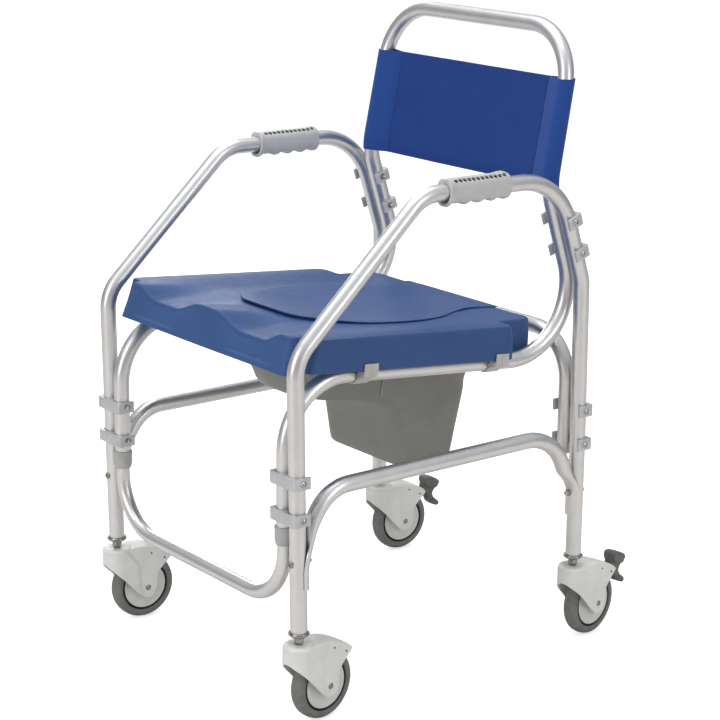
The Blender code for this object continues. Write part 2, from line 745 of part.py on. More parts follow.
def seat_outline():
    """Plan outline of the seat."""
    right = arc(SEAT_FRONT_HW - 0.014, SEAT_FRONT_Y + 0.014, 0.014, -90, 0, 3)
    right.append((SEAT_FRONT_HW + 0.004, BLOCK_FRONT_Y - 0.012))
    right.append((SEAT_FRONT_HW + 0.012, BLOCK_FRONT_Y))
    right += arc(SEAT_HW - 0.006, BLOCK_FRONT_Y + 0.006, 0.006, -90, 0, 3)
    right += arc(SEAT_HW - 0.014, BLOCK_REAR_Y - 0.014, 0.014, 0, 90, 3)
    right.append((SEAT_REAR_HW + 0.006, BLOCK_REAR_Y + 0.001))
    right.append((SEAT_REAR_HW, BLOCK_REAR_Y + 0.008))
    right += arc(SEAT_REAR_HW - 0.030, SEAT_REAR_Y - 0.030, 0.030, 0, 90, 4)
    return right + mirrored(right)


def ridge_z(y):
    return RIDGE_Z + RIDGE_SLOPE * y


def lid_floor_z(y):
    return ridge_z(y) - LID_DEPTH


def seat_top_z(x, y):
    """Moulded top: side ridges, dished middle, thigh channels and a centre rise at the front."""
    across = abs(x)
    rear_fade = 1 - 0.75 * smoothstep(0.120, 0.215, y)
    dish = -SEAT_DISH * smoothstep(0.230, 0.1435, across) * rear_fade
    rise = 1 - smoothstep(0.020, 0.092, across)
    channel = 0.0175 * smoothstep(0.192, 0.140, across) * (1 - rise)
    front_share = 1 - smoothstep(-0.270, -0.130, y)
    return ridge_z(y) + lerp(dish, 0.0023 * rise - channel, front_share)


def seat_bottom_z(y):
    return SKIRT_Z + SKIRT_SLOPE * y


def seat_blank(name):
    """Contoured blank, larger than the seat; its front row hangs lower."""
    columns = [-x for x in reversed(BLANK_COLUMNS[1:])] + BLANK_COLUMNS
    bm = bmesh.new()
    top = []
    bottom = []
    for y in BLANK_ROWS:
        top.append([bm.verts.new((x, y, seat_top_z(x, max(y, -0.285)))) for x in columns])
    for y in BLANK_ROWS:
        z = seat_bottom_z(y) - (0.0065 if y < -0.262 else 0.0)
        bottom.append([bm.verts.new((x, y, z)) for x in (columns[0], columns[-1])])
    for j in range(len(BLANK_ROWS) - 1):
        top0, top1, low0, low1 = top[j], top[j + 1], bottom[j], bottom[j + 1]
        for i in range(len(columns) - 1):
            bm.faces.new((top0[i], top0[i + 1], top1[i + 1], top1[i]))
        bm.faces.new((low0[1], low0[0], low1[0], low1[1]))
        bm.faces.new((low0[0], top0[0], top1[0], low1[0]))
        bm.faces.new((top0[-1], low0[1], low1[1], top1[-1]))
    bm.faces.new([bottom[0][0], bottom[0][1]] + top[0][::-1])
    bm.faces.new([bottom[-1][1], bottom[-1][0]] + top[-1])
    bmesh.ops.triangulate(bm, faces=bm.faces[:])
    return mesh_object(name, bm, SEAT_BLUE)


def lid_outline(grow=0.0):
    """Broad round front, waist, and a tail that opens a little towards the rear edge."""
    right = [(0.0001, -(LID_FRONT + grow))]
    for k in range(1, 15):
        a = math.radians(-90 + 135 * k / 14)
        length = LID_FRONT if math.sin(a) < 0 else LID_REAR
        right.append(((LID_HW + grow) * math.cos(a) ** LID_ROUND, (length + grow) * math.sin(a)))
    right += [(LID_WAIST + 0.0060 + grow, 0.1420), (LID_WAIST + grow, 0.1660),
              (LID_WAIST + 0.0030 + grow, 0.1900),
              (LID_WAIST + LID_FLARE + grow, SEAT_REAR_Y + grow)]
    return right + mirrored(right[1:])


def rebate_outline():
    """Lid outline with clearance, its tail run out past the rear edge."""
    points = []
    for x, y in lid_outline(0.0006):
        x *= 1.004
        ends = [(x, y)] if y < 0.2 else [(x, y), (x, y + 0.05)]
        points += ends if x > 0 else ends[::-1]
    return points


def knee_clearance(sign):
    """Room for a front knee of the side frame."""
    x = sign * FRAME_X
    points = [(x, leg_y(0.45, "front"), 0.45), (x, *KNEE_FRONT), (x, -0.2040, 0.6300)]
    path = fillet_path(points, [SIDE_RADII[0]], FRAME_STEP)
    return tube_cutter("knee_clearance", path, TUBE_R + 0.0014, SEAT_BLUE)


def rectangle(half_width, front, rear):
    return [(-half_width, front), (half_width, front), (half_width, rear), (-half_width, rear)]


def seat():
    ob = seat_blank("seat")
    keep = cutter_prism("seat_keep", seat_outline(), level(0.40), level(0.70), FRONT_LEAN)
    boolean(ob, keep, "INTERSECT")
    # hollow underside that sits over the rails, leaving side skirts and a front lip
    under = rectangle(RAIL_X + TUBE_R + 0.0012, -0.2620, 0.30)
    boolean(ob, cutter_prism("seat_under", under, level(0.30),
                             lambda y: rail_z(y) + TUBE_R * RAIL_SECANT + 0.0004))
    pocket = rectangle(0.148, -0.240, 0.198)
    boolean(ob, cutter_prism("seat_pocket", pocket, level(0.30),
                             lambda y: lid_floor_z(y) - 0.0060))
    for _, sign in SIDES:
        boolean(ob, knee_clearance(sign))
    boolean(ob, cutter_prism("lid_rebate", rebate_outline(), lid_floor_z, level(0.70)))
    hole = []
    for k in range(20):
        a = 2 * math.pi * k / 20
        hole.append((0.112 * math.cos(a), -0.005 + 0.122 * math.sin(a)))
    boolean(ob, cutter_prism("seat_hole", hole, level(0.30), level(0.70)))


def lid():
    ob = seat_blank("seat_lid")
    keep = cutter_prism("lid_keep", lid_outline(), lambda y: lid_floor_z(y) + GAP, level(0.70))
    boolean(ob, keep, "INTERSECT")


# ------------------------------------------------------------------ pan, runners and clips
# Outer skin below the rim: half width, front y, rear y, z, nose exponent, and how far the
# inner skin's ring stands above it.
PAN_SKIN = [
    (0.1240, -0.1385, 0.1640, 0.4400, 2.6, 0.0008),
    (0.1210, -0.1340, 0.1625, 0.4300, 2.6, PAN_WALL),
    (0.1190, -0.0600, 0.1615, 0.4220, 3.6, PAN_WALL),
    (0.1165, 0.0020, 0.1600, 0.4100, 5.0, PAN_WALL),
    (0.1110, 0.0290, 0.1570, 0.3840, 7.0, 0.0008),
    (0.0960, 0.0360, 0.1510, 0.3050, 9.0, 0.0008),
    (0.0900, 0.0400, 0.1470, 0.2950, 9.0, PAN_WALL),
]
PAN_FLOOR_Z = PAN_SKIN[-1][3]
# Rim rings, following the rail's fall: half width, front y, rear y, drop below the rim top.
PAN_RIM = [
    (0.1460, -0.1560, 0.1700, 0.0),
    (0.1560, -0.1660, 0.1780, 0.0),
    (0.1560, -0.1660, 0.1780, 0.0030),
    (0.1490, -0.1590, 0.1720, 0.0032),
]


def pan_ring(half_width, front, rear, height, nose, slope=0.0):
    """22-point ring, squarer at the rear; nose sets the front (2 round, 9 nearly square)."""
    ring = []
    for k in range(22):
        a = 2 * math.pi * k / 22 - math.pi / 2
        power = 2.0 / (nose if math.sin(a) < 0 else 9.0)
        x = half_width * signed_power(math.cos(a), power)
        y = (front + rear) / 2 + (rear - front) / 2 * signed_power(math.sin(a), power)
        ring.append(Vector((x, y, height + slope * y)))
    return ring


def pan():
    """Rings run from the middle of the inner floor up, over the rim and down the outside."""
    wall = PAN_WALL
    rim_top = rail_z(0) + 0.0010
    floor = (0.060, 0.062, 0.120)
    rings = [pan_ring(*floor, PAN_FLOOR_Z + wall, 9.0)]
    for half_width, front, rear, z, nose, lift in reversed(PAN_SKIN):
        rings.append(pan_ring(half_width - wall, front + wall, rear - wall, z + lift, nose))
    for half_width, front, rear, drop in PAN_RIM:
        rings.append(pan_ring(half_width, front, rear, rim_top - drop, 2.6, RAIL_SLOPE))
    for half_width, front, rear, z, nose, _ in PAN_SKIN:
        rings.append(pan_ring(half_width, front, rear, z, nose))
    rings.append(pan_ring(*floor, PAN_FLOOR_Z - 0.0004, 9.0))
    loft("commode_pan", rings, PAN_GREY)


def rail_section(name, outline, x, y, half_length):
    """Section in (x, square to the rail), run along the seat rail's fall about (x, y)."""
    matrix = shift(x, y, rail_z(y)) @ rot_x(RAIL_ANGLE) @ FRONT_PLANE
    flat_part(name, outline, half_length, matrix, CLIP_GREY)


def runner(side, sign):
    """Flanged strip under the seat that carries the pan's rim."""
    sheet = RUNNER_SHEET
    top = TUBE_R + 0.0001
    low = -0.0050
    section = [(-0.0075, top), (0.0045, top), (0.0045, top - sheet), (sheet / 2, top - sheet),
               (sheet / 2, low), (-0.0085, low), (-0.0085, low + sheet),
               (-sheet / 2, low + sheet), (-sheet / 2, top - sheet), (-0.0075, top - sheet)]
    if sign < 0:
        section = mirrored(section)
    rail_section("pan_runner_" + side, section, sign * RUNNER_X, RUNNER_Y, RUNNER_HALF_LENGTH)


def seat_clip(name, sign, y):
    """Snap clip: plate on the skirt's outside, jaw curling under the rail."""
    plate = SEAT_HW + 0.0004 - RAIL_X
    jaw = TUBE_R + 0.0004
    top = seat_bottom_z(y) + 0.0110 - rail_z(y)
    low = seat_bottom_z(y) - 0.0006 - rail_z(y)
    section = [(plate + CLIP_SHEET, top), (plate + CLIP_SHEET, low - 0.006)]
    section += arc(0, 0, jaw + CLIP_SHEET, -28, -118, 8)
    section += arc(0, 0, jaw, -118, -8, 9)
    section += [(jaw + 0.001, low), (plate, low), (plate, top)]
    if sign > 0:
        section = section[::-1]
    else:
        section = [(-x, z) for x, z in section]
    rail_section(name, section, sign * RAIL_X, y, CLIP_WIDTH / 2)


# ------------------------------------------------------------------ backrest sling
def post_centre(z):
    """(x, y) of the right post's centre at height z, from the kink to the hoop."""
    path = fillet_path(rail_points()[5:8], [0.092], 3)
    for a, b in zip(path[:-1], path[1:]):
        if b.z - 1e-9 <= z <= a.z + 1e-9:
            point = a.lerp(b, (z - a.z) / (b.z - a.z))
            return point.x, point.y
    raise ValueError("height %.4f is off the post" % z)


def sling():
    """Fabric band sagging between the posts, with a loop round each."""
    loop = TUBE_R + 0.0024
    rings = []
    for k in range(SLING_ROWS + 1):
        z = lerp(*SLING_Z, k / SLING_ROWS)
        post_x, y = post_centre(z)
        front = [(0.10, y + 0.0065), (post_x - 0.028, y - 0.0030), (post_x - 0.006, y - loop),
                 (post_x + 0.008, y - loop), (post_x + loop + 0.0020, y)]
        back = [(post_x + 0.008, y + loop), (post_x - 0.006, y + loop),
                (post_x - 0.028, y + 0.0020), (0.10, y + 0.0095)]
        ring = mirrored(front) + [(0.0, y + 0.010)] + front
        ring += back + [(0.0, y + 0.013)] + mirrored(back)
        rings.append([Vector((*point, z)) for point in ring])
    ob = loft("backrest_sling", rings, FABRIC_BLUE)
    boolean(ob, tube_cutter("sling_passage", rail_path(), TUBE_R + 0.0007, FABRIC_BLUE))


# ------------------------------------------------------------------ armrest grips
def grip(side, sign):
    """Soft sleeve: crowned top, rippled underside, flared ends, bored for the tube."""
    front, rear = GRIP_Y[sign]
    angles = [2 * math.pi * i / GRIP_POINTS for i in range(GRIP_POINTS)]
    rings = []
    for k in range(GRIP_ROWS + 1):
        t = k / GRIP_ROWS
        y = lerp(front, rear, t)
        flare = max(0.0, 1 - t / 0.10) + max(0.0, 1 - (1 - t) / 0.07) * 0.6
        up = 0.0195 + 0.0015 * math.sin(math.pi * t)
        down = 0.0172 + 0.0012 * math.cos(2 * math.pi * 2.5 * t) + 0.0024 * flare
        half_width = 0.0172 + 0.0008 * flare
        ring = []
        for a in angles:
            x = half_width * signed_power(math.cos(a), 0.85)
            z = (up if math.sin(a) > 0 else down) * signed_power(math.sin(a), 0.85)
            ring.append(Vector((sign * FRAME_X + x, y, armrest_z(y) + z)))
        rings.append(ring)
    bore = TUBE_R + GAP
    for y in (rear, front):
        rings.append([Vector((sign * FRAME_X + bore * math.cos(a), y,
                              armrest_z(y) + bore * math.sin(a))) for a in angles])
    loft("armrest_grip_" + side, rings, GRIP_GREY, wrap=True)


# ------------------------------------------------------------------ origin
def world_points():
    """Every evaluated vertex of the chair, in world space."""
    points = []
    for ob in PARTS.objects:
        if ob.type == "EMPTY":
            continue
        mesh = evaluated_mesh(ob)
        points += [ob.matrix_world @ v.co for v in mesh.vertices]
        bpy.data.meshes.remove(mesh)
    return points


def centre_on_floor():
    """Move everything so the origin is the middle of the floor outline."""
    xs, ys, zs = zip(*world_points())
    offset = Vector((-(min(xs) + max(xs)) / 2, -(min(ys) + max(ys)) / 2, -min(zs)))
    for ob in list(PARTS.objects) + list(CUTTERS.objects):
        if ob.parent is None:
            ob.location += offset
    bpy.context.view_layer.update()


# ------------------------------------------------------------------ build
backrest_rail()
rear_cross()
front_u()
seat()
lid()
pan()
sling()
for side, sign in SIDES:
    side_frame(side, sign)
    sleeve(side, sign)
    stretcher(side, sign)
    grip(side, sign)
    runner(side, sign)
    for end in ("front", "rear"):
        seat_clip("seat_clip_%s_%s" % (end, side), sign, CLIP_Y[end])
        stretcher_bolt(side, sign, end)
    clamps(side, sign)
for key in SWIVEL_DEG:
    caster(key)
centre_on_floor()
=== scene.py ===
# Commode chair on four swivel casters: bent tube frame, moulded seat with a lid, a pan on
# runners below it, a cloth backrest and two armrest grips.
# Metres, +Z up. X runs across the chair (left is -X), the front faces -Y, the floor is z = 0.
# Design coordinates start midway between the axle lines; OFFSET moves them into the CAD frame.
import bpy
import bmesh
import math
from mathutils import Vector, Matrix


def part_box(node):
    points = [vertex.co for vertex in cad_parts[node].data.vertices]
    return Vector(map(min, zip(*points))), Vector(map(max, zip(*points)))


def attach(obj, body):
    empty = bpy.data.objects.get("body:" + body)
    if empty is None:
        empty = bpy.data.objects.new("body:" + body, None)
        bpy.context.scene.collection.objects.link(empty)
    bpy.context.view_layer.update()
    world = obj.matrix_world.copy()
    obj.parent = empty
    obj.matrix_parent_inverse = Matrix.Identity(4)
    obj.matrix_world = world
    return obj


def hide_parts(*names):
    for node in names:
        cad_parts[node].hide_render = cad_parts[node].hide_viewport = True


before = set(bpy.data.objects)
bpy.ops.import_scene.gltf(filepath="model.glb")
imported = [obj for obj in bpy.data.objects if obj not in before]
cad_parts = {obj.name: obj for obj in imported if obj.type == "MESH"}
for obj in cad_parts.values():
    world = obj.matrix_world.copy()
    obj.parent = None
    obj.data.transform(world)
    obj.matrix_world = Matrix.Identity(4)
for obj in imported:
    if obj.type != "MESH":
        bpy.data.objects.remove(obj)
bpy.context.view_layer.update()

# ---------------------------------------------------------------- driving dimensions
TUBE_R = 0.0125
FRAME_X, RAIL_X = 0.2513, 0.2213            # tube axes: side frames, seat rail
AXLE_Y, FOOT_Z = 0.2740, 0.1433             # lower ends of the legs
BACK_Y, BACK_Z, BACK_LEAN = 0.2360, 0.6975, -0.3345   # a point on the back line, and dy/dz


def back_point(z):
    """(y, z) on the straight line shared by the side frames and the back posts."""
    return (BACK_Y + BACK_LEAN * (z - BACK_Z), z)


# corners of the tube axes as (y, z)
KNEE_FRONT, ARM_FRONT = (-0.2823, 0.5570), (-0.0554, 0.7685)
ARM_REAR, KNEE_REAR = back_point(0.7661), back_point(0.5983)
ANKLE_REAR = (0.2738, 0.3400)
RAIL_Y, RAIL_FOOT_Z, RAIL_FRONT_Z = -0.2782, 0.3000, 0.5227
RAIL_REAR, POST_KINK = back_point(0.4674), back_point(0.7450)
POST_TOP, POST_TOP_X = (0.2664, 0.9848), 0.2170
RAIL_SLOPE = (RAIL_REAR[1] - RAIL_FRONT_Z) / (RAIL_REAR[0] - RAIL_Y)
RAIL_ANGLE = math.atan(RAIL_SLOPE)
SIDES = (("left", -1), ("right", 1))

low_corner, high_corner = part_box("front_u_tube")
OFFSET = Vector(((low_corner.x + high_corner.x) / 2,
                 (low_corner.y + high_corner.y) / 2 - RAIL_Y, 0.0))


def lerp(a, b, t):
    return a + (b - a) * t


def smooth_step(start, end, value):
    t = min(1.0, max(0.0, (value - start) / (end - start)))
    return t * t * (3 - 2 * t)


def turn_x(angle):
    return Matrix.Rotation(angle, 4, "X")


def turn_y(angle):
    return Matrix.Rotation(angle, 4, "Y")


def turn_z(angle):
    return Matrix.Rotation(angle, 4, "Z")


def move(x, y, z):
    return Matrix.Translation((x, y, z))


def line_y(first, second, z):
    """y at height z on the line through two (y, z) points."""
    return first[0] + (second[0] - first[0]) * (z - first[1]) / (second[1] - first[1])


def leg_y(z, end):
    if end == "front":
        return line_y((-AXLE_Y, FOOT_Z), KNEE_FRONT, z)
    return line_y((AXLE_Y, FOOT_Z), ANKLE_REAR, z)


def rail_z(y):
    return RAIL_FRONT_Z + RAIL_SLOPE * (y - RAIL_Y)


# ---------------------------------------------------------------- shader building
class Graph:
    """Wires procedural nodes into a node tree."""

    def __init__(self, tree):
        self.tree = tree
        self.coords = self.new("ShaderNodeTexCoord").outputs

    def new(self, kind, **settings):
        node = self.tree.nodes.new(kind)
        for name, value in settings.items():
            setattr(node, name, value)
        return node

    def feed(self, socket, value):
        """Links a socket, or sets it to a number or an RGB colour."""
        if isinstance(value, bpy.types.NodeSocket):
            self.tree.links.new(value, socket)
        else:
            socket.default_value = (*value, 1) if isinstance(value, tuple) else value

    def uv(self, name):
        return self.new("ShaderNodeUVMap", uv_map=name).outputs["UV"]

    def mapping(self, scale, source=None):
        node = self.new("ShaderNodeMapping")
        node.inputs["Scale"].default_value = scale
        self.feed(node.inputs["Vector"], source or self.coords["Object"])
        return node.outputs["Vector"]

    def noise(self, scale, source=None, detail=3.0, rough=0.55):
        node = self.new("ShaderNodeTexNoise")
        node.inputs["Scale"].default_value = scale
        node.inputs["Detail"].default_value = detail
        node.inputs["Roughness"].default_value = rough
        self.feed(node.inputs["Vector"], source or self.coords["Object"])
        return node.outputs["Fac"]

    def voronoi(self, scale):
        node = self.new("ShaderNodeTexVoronoi")
        node.inputs["Scale"].default_value = scale
        self.feed(node.inputs["Vector"], self.coords["Object"])
        return node.outputs["Distance"]

    def separate(self, vector):
        node = self.new("ShaderNodeSeparateXYZ")
        self.feed(node.inputs[0], vector)
        return node.outputs

    def ramp(self, factor, stops):
        """Colour ramp from (position, colour) stops."""
        node = self.new("ShaderNodeValToRGB")
        elements = node.color_ramp.elements
        while len(elements) > 1:
            elements.remove(elements[-1])
        elements[0].position, elements[0].color = stops[0][0], (*stops[0][1], 1)
        for position, colour in stops[1:]:
            elements.new(position).color = (*colour, 1)
        self.feed(node.inputs["Fac"], factor)
        return node.outputs["Color"]

    def remap(self, value, span=(0.3, 0.7), to=(0.0, 1.0)):
        """Takes the range span to the range to, clamped."""
        node = self.new("ShaderNodeMapRange")
        for name, number in zip(("From Min", "From Max", "To Min", "To Max"), (*span, *to)):
            node.inputs[name].default_value = number
        self.feed(node.inputs["Value"], value)
        return node.outputs["Result"]

    def math(self, operation, *values):
        node = self.new("ShaderNodeMath", operation=operation)
        for i, value in enumerate(values):
            self.feed(node.inputs[i], value)
        return node.outputs[0]

    def mix(self, factor, first, second):
        node = self.new("ShaderNodeMix", data_type="RGBA")
        for i, value in ((0, factor), (6, first), (7, second)):
            self.feed(node.inputs[i], value)
        return node.outputs[2]

    def painted_edge_highlight(self, size, amount):
        """0 on flats, up to amount on edges: the mask for painted edge highlights."""
        bevel = self.new("ShaderNodeBevel")
        bevel.samples = 4
        bevel.inputs["Radius"].default_value = size
        geometry = self.new("ShaderNodeNewGeometry")
        dot = self.new("ShaderNodeVectorMath", operation="DOT_PRODUCT")
        self.feed(dot.inputs[0], bevel.outputs["Normal"])
        self.feed(dot.inputs[1], geometry.outputs["Normal"])
        edge_lit = self.remap(dot.outputs["Value"], span=(1.0, 0.86))
        return self.math("MULTIPLY", edge_lit, amount)

    def bump(self, height, strength, distance, under=None):
        node = self.new("ShaderNodeBump")
        node.inputs["Strength"].default_value = strength
        node.inputs["Distance"].default_value = distance
        self.feed(node.inputs["Height"], height)
        if under is not None:
            self.feed(node.inputs["Normal"], under)
        return node.outputs["Normal"]


class Material(Graph):
    """A Principled material under construction."""

    def __init__(self, name):
        self.material = bpy.data.materials.new(name)
        self.material.use_nodes = True
        super().__init__(self.material.node_tree)
        self.inputs = self.tree.nodes["Principled BSDF"].inputs

    def finish(self, colour, rough, normal=None, **values):
        self.feed(self.inputs["Base Color"], colour)
        self.feed(self.inputs["Roughness"], rough)
        if normal is not None:
            self.feed(self.inputs["Normal"], normal)
        for name, value in values.items():
            self.inputs[name.replace("_", " ")].default_value = value
        return self.material


def srgb(*channels):
    """Linear colour from 0-255 sRGB channels."""
    return tuple((c / 255) / 12.92 if c / 255 <= 0.04045 else ((c / 255 + 0.055) / 1.055) ** 2.4
                 for c in channels)


def tint(colour, gain, lift=0.0):
    return tuple(min(1.0, c * gain + lift) for c in colour)


def tube_material():
    """Satin tube: draw lines along its length, faint clouding and specks."""
    m = Material("satin_anodised_tube")
    lines = m.noise(scale=1.0, source=m.mapping((9, 2600, 1), m.uv("tube")), detail=4, rough=0.6)
    cloud = m.noise(scale=34, detail=4, rough=0.6)
    broad = m.noise(scale=7, detail=2, rough=0.5)
    specks = m.voronoi(scale=260)
    colour = m.ramp(cloud, [(0.30, srgb(221, 221, 219)), (0.55, srgb(226, 226, 225)),
                            (0.75, srgb(229, 228, 226))])
    for value, span, to, blend in (
            (broad, (0.4, 0.7), (0.0, 0.35), srgb(219, 221, 227)),
            (specks, (0.0, 0.04), (0.16, 0.0), srgb(170, 168, 166)),
            (lines, (0.35, 0.7), (0.10, 0.0), srgb(196, 196, 196))):
        colour = m.mix(m.remap(value, span=span, to=to), colour, blend)
    rough = m.math("ADD", m.remap(lines, to=(0.32, 0.40)), m.remap(cloud, to=(-0.015, 0.02)))
    normal = m.bump(lines, strength=0.10, distance=0.00015)
    normal = m.bump(m.noise(scale=420, detail=2), strength=0.05, distance=0.0001, under=normal)
    return m.finish(colour, rough, normal, Metallic=0.97, Specular_IOR_Level=0.5)


def clamp_material():
    m = Material("tumbled_clamp")
    grit = m.noise(scale=900, detail=3, rough=0.7)
    cloud = m.noise(scale=60, detail=4, rough=0.6)
    die_lines = m.noise(scale=1.0, source=m.mapping((60, 60, 4200)), detail=2, rough=0.5)
    colour = m.ramp(cloud, [(0.3, srgb(192, 194, 196)), (0.7, srgb(208, 210, 212))])
    # edges painted lighter: a painted highlight along the clamp's edges
    colour = m.mix(m.painted_edge_highlight(size=0.0009, amount=0.55), colour, srgb(226, 228, 230))
    normal = m.bump(grit, strength=0.22, distance=0.00012)
    normal = m.bump(die_lines, strength=0.06, distance=0.0001, under=normal)
    return m.finish(colour, m.remap(grit, to=(0.42, 0.60)), normal, Metallic=0.55)


def steel_material(name, dark, light, rough=(0.14, 0.30), metallic=1.0):
    m = Material(name)
    cloud = m.noise(scale=300, detail=4, rough=0.6)
    fine = m.noise(scale=1500, detail=2, rough=0.6)
    colour = m.ramp(cloud, [(0.3, dark), (0.7, light)])
    normal = m.bump(fine, strength=0.08, distance=0.00008)
    return m.finish(colour, m.remap(cloud, to=rough), normal, Metallic=metallic)


def plastic_material(name, dark, light, rough, grain, mottle, strength, depth=0.0001, edge_highlight_colour=None,
                     specular=0.5):
    """grain and mottle are noise scales; strength and depth drive the grain's bump."""
    m = Material(name)
    cloud = m.noise(scale=mottle, detail=4, rough=0.6)
    patches = m.noise(scale=mottle * 9, detail=3, rough=0.6)
    grit = m.noise(scale=grain, detail=2, rough=0.65)
    cells = m.voronoi(scale=grain * 0.9)
    colour = m.ramp(cloud, [(0.32, dark), (0.68, light)])
    colour = m.mix(m.remap(patches, span=(0.35, 0.75), to=(0.0, 0.10)), colour,
                   tint(light, gain=1.25, lift=0.01))
    # edges painted lighter: a painted highlight along the rims and corners
    if edge_highlight_colour is not None:
        colour = m.mix(m.painted_edge_highlight(size=0.0016, amount=0.45), colour, edge_highlight_colour)
    height = m.math("ADD", grit, m.math("MULTIPLY", cells, 0.5))
    normal = m.bump(height, strength=strength, distance=depth)
    normal = m.bump(patches, strength=0.05, distance=0.0004, under=normal)
    roughness = m.math("ADD", m.remap(patches, to=rough), m.remap(grit, to=(-0.03, 0.03)))
    return m.finish(colour, roughness, normal, Specular_IOR_Level=specular)


def weave_material(name, dark, light, pitch=0.00085):
    """Plain weave: two crossing sets of threads, raised in turn, with uneven yarn."""
    m = Material(name)
    cloth = m.uv("cloth")
    wobble = m.noise(scale=90, source=cloth, detail=3, rough=0.6)
    axes = m.separate(cloth)
    waves = []
    for axis in "XY":
        along = m.math("ADD", axes[axis], m.math("MULTIPLY", wobble, pitch * 0.5))
        waves.append(m.math("SINE", m.math("MULTIPLY", along, math.pi / pitch)))
    warp, weft = (m.math("ABSOLUTE", wave) for wave in waves)
    warp_on_top = m.math("GREATER_THAN", m.math("MULTIPLY", *waves), 0.0)
    height = m.math("ADD", m.math("MULTIPLY", warp_on_top, warp),
                    m.math("MULTIPLY", m.math("SUBTRACT", 1.0, warp_on_top), weft))
    fibre = m.noise(scale=5200, source=cloth, detail=2, rough=0.7)
    cloud = m.noise(scale=14, detail=4, rough=0.6)
    slub = m.noise(scale=1.0, source=m.mapping((18, 700, 1), cloth), detail=2, rough=0.6)
    # painted shade and light on the weave: darker down between the threads, lighter on their
    # crests
    colour = m.ramp(height, [(0.0, tint(dark, gain=0.55)), (0.45, dark), (1.0, light)])
    colour = m.mix(m.remap(cloud, span=(0.35, 0.7), to=(0.0, 0.25)), colour, light)
    # painted light: the sewn pockets are two layers of cloth, and their strips, which turn
    # towards the light round the posts, are coloured lighter than the single panel
    across = m.math("ABSOLUTE", m.separate(m.coords["Object"])["X"])
    colour = m.mix(m.remap(across, span=(0.1795, 0.1802), to=(0.0, 0.66)), colour,
                   tint(light, gain=1.06, lift=0.012))
    colour = m.mix(m.remap(slub, span=(0.45, 0.75), to=(0.0, 0.22)), colour,
                   tint(dark, gain=0.75))
    height = m.math("ADD", height, m.math("MULTIPLY", fibre, 0.3))
    normal = m.bump(height, strength=0.55, distance=0.00022)
    return m.finish(colour, m.remap(fibre, to=(0.74, 0.92)), normal, Specular_IOR_Level=0.22,
                    Sheen_Weight=0.25, Sheen_Roughness=0.55, Sheen_Tint=(0.35, 0.45, 0.85, 1))


def rubber_material(name, dark, light, rough=(0.55, 0.75)):
    m = Material(name)
    cloud = m.noise(scale=70, detail=5, rough=0.65)
    dust = m.noise(scale=420, detail=4, rough=0.7)
    colour = m.ramp(cloud, [(0.3, dark), (0.7, light)])
    colour = m.mix(m.remap(dust, span=(0.50, 0.78), to=(0.0, 0.35)), colour,
                   tint(light, gain=1.9))
    normal = m.bump(m.voronoi(scale=2200), strength=0.28, distance=0.0001)
    normal = m.bump(dust, strength=0.10, distance=0.0002, under=normal)
    return m.finish(colour, m.remap(dust, to=rough), normal, Specular_IOR_Level=0.35)


ALUMINIUM = tube_material()
CLAMP_METAL = clamp_material()
STEEL = steel_material("plated_steel", srgb(120, 118, 114), srgb(188, 186, 182))
ZINC = steel_material("bright_zinc_screw", srgb(150, 149, 146), srgb(214, 212, 209),
                      rough=(0.10, 0.24))
# DARK is dark metal for the caster rivets, and also painted shade for the grip's slots
DARK = steel_material("dark_rivets_and_painted_slot_shade", srgb(20, 20, 20), srgb(34, 33, 32),
                      rough=(0.5, 0.7), metallic=0.2)
SEAT_BLUE = plastic_material(
    "moulded_blue_seat", srgb(49, 79, 129), srgb(54, 85, 136), rough=(0.48, 0.58), grain=1500,
    mottle=9, strength=0.40, depth=0.00014, edge_highlight_colour=srgb(80, 108, 156), specular=0.31)
LID_BLUE = plastic_material(
    "moulded_blue_lid", srgb(48, 78, 128), srgb(53, 84, 135), rough=(0.48, 0.58), grain=1500,
    mottle=11, strength=0.40, depth=0.00014, edge_highlight_colour=srgb(80, 108, 156), specular=0.31)
PAN_GREY = plastic_material(
    "pan_polypropylene", srgb(122, 123, 118), srgb(130, 131, 126), rough=(0.34, 0.46),
    grain=1200, mottle=16, strength=0.2, edge_highlight_colour=srgb(160, 160, 155))
CLIP_NYLON = plastic_material(
    "clip_nylon", srgb(180, 178, 173), srgb(192, 190, 186), rough=(0.40, 0.52), grain=1800,
    mottle=60, strength=0.2, depth=0.00008, edge_highlight_colour=srgb(214, 212, 208))
GRIP_GREY = plastic_material(
    "grip_soft_grey", srgb(188, 189, 188), srgb(199, 200, 199), rough=(0.48, 0.60), grain=1900,
    mottle=40, strength=0.4, depth=0.00014, edge_highlight_colour=srgb(206, 207, 208))
SLEEVE_GREY = plastic_material(
    "sleeve_grey", srgb(168, 169, 167), srgb(180, 181, 179), rough=(0.42, 0.55), grain=1600,
    mottle=50, strength=0.25, edge_highlight_colour=srgb(188, 190, 190))
CASTER_NYLON = plastic_material(
    "caster_nylon", srgb(218, 220, 216), srgb(228, 230, 226), rough=(0.34, 0.46), grain=1700,
    mottle=30, strength=0.2, depth=0.00008, edge_highlight_colour=srgb(240, 242, 240))
HUB_NYLON = plastic_material(
    "hub_nylon", srgb(208, 209, 204), srgb(220, 221, 216), rough=(0.38, 0.50), grain=1500,
    mottle=45, strength=0.25)
TYRE_RUBBER = rubber_material("tyre_grey_rubber", srgb(110, 111, 108), srgb(124, 125, 122))
BEAD_RUBBER = rubber_material("tyre_bead_black", srgb(14, 14, 17), srgb(26, 26, 30),
                              rough=(0.4, 0.55))
PEDAL_NYLON = plastic_material(
    "pedal_nylon", srgb(92, 92, 89), srgb(105, 105, 102), rough=(0.48, 0.62), grain=1500,
    mottle=60, strength=0.35, depth=0.00014, edge_highlight_colour=srgb(128, 128, 124))
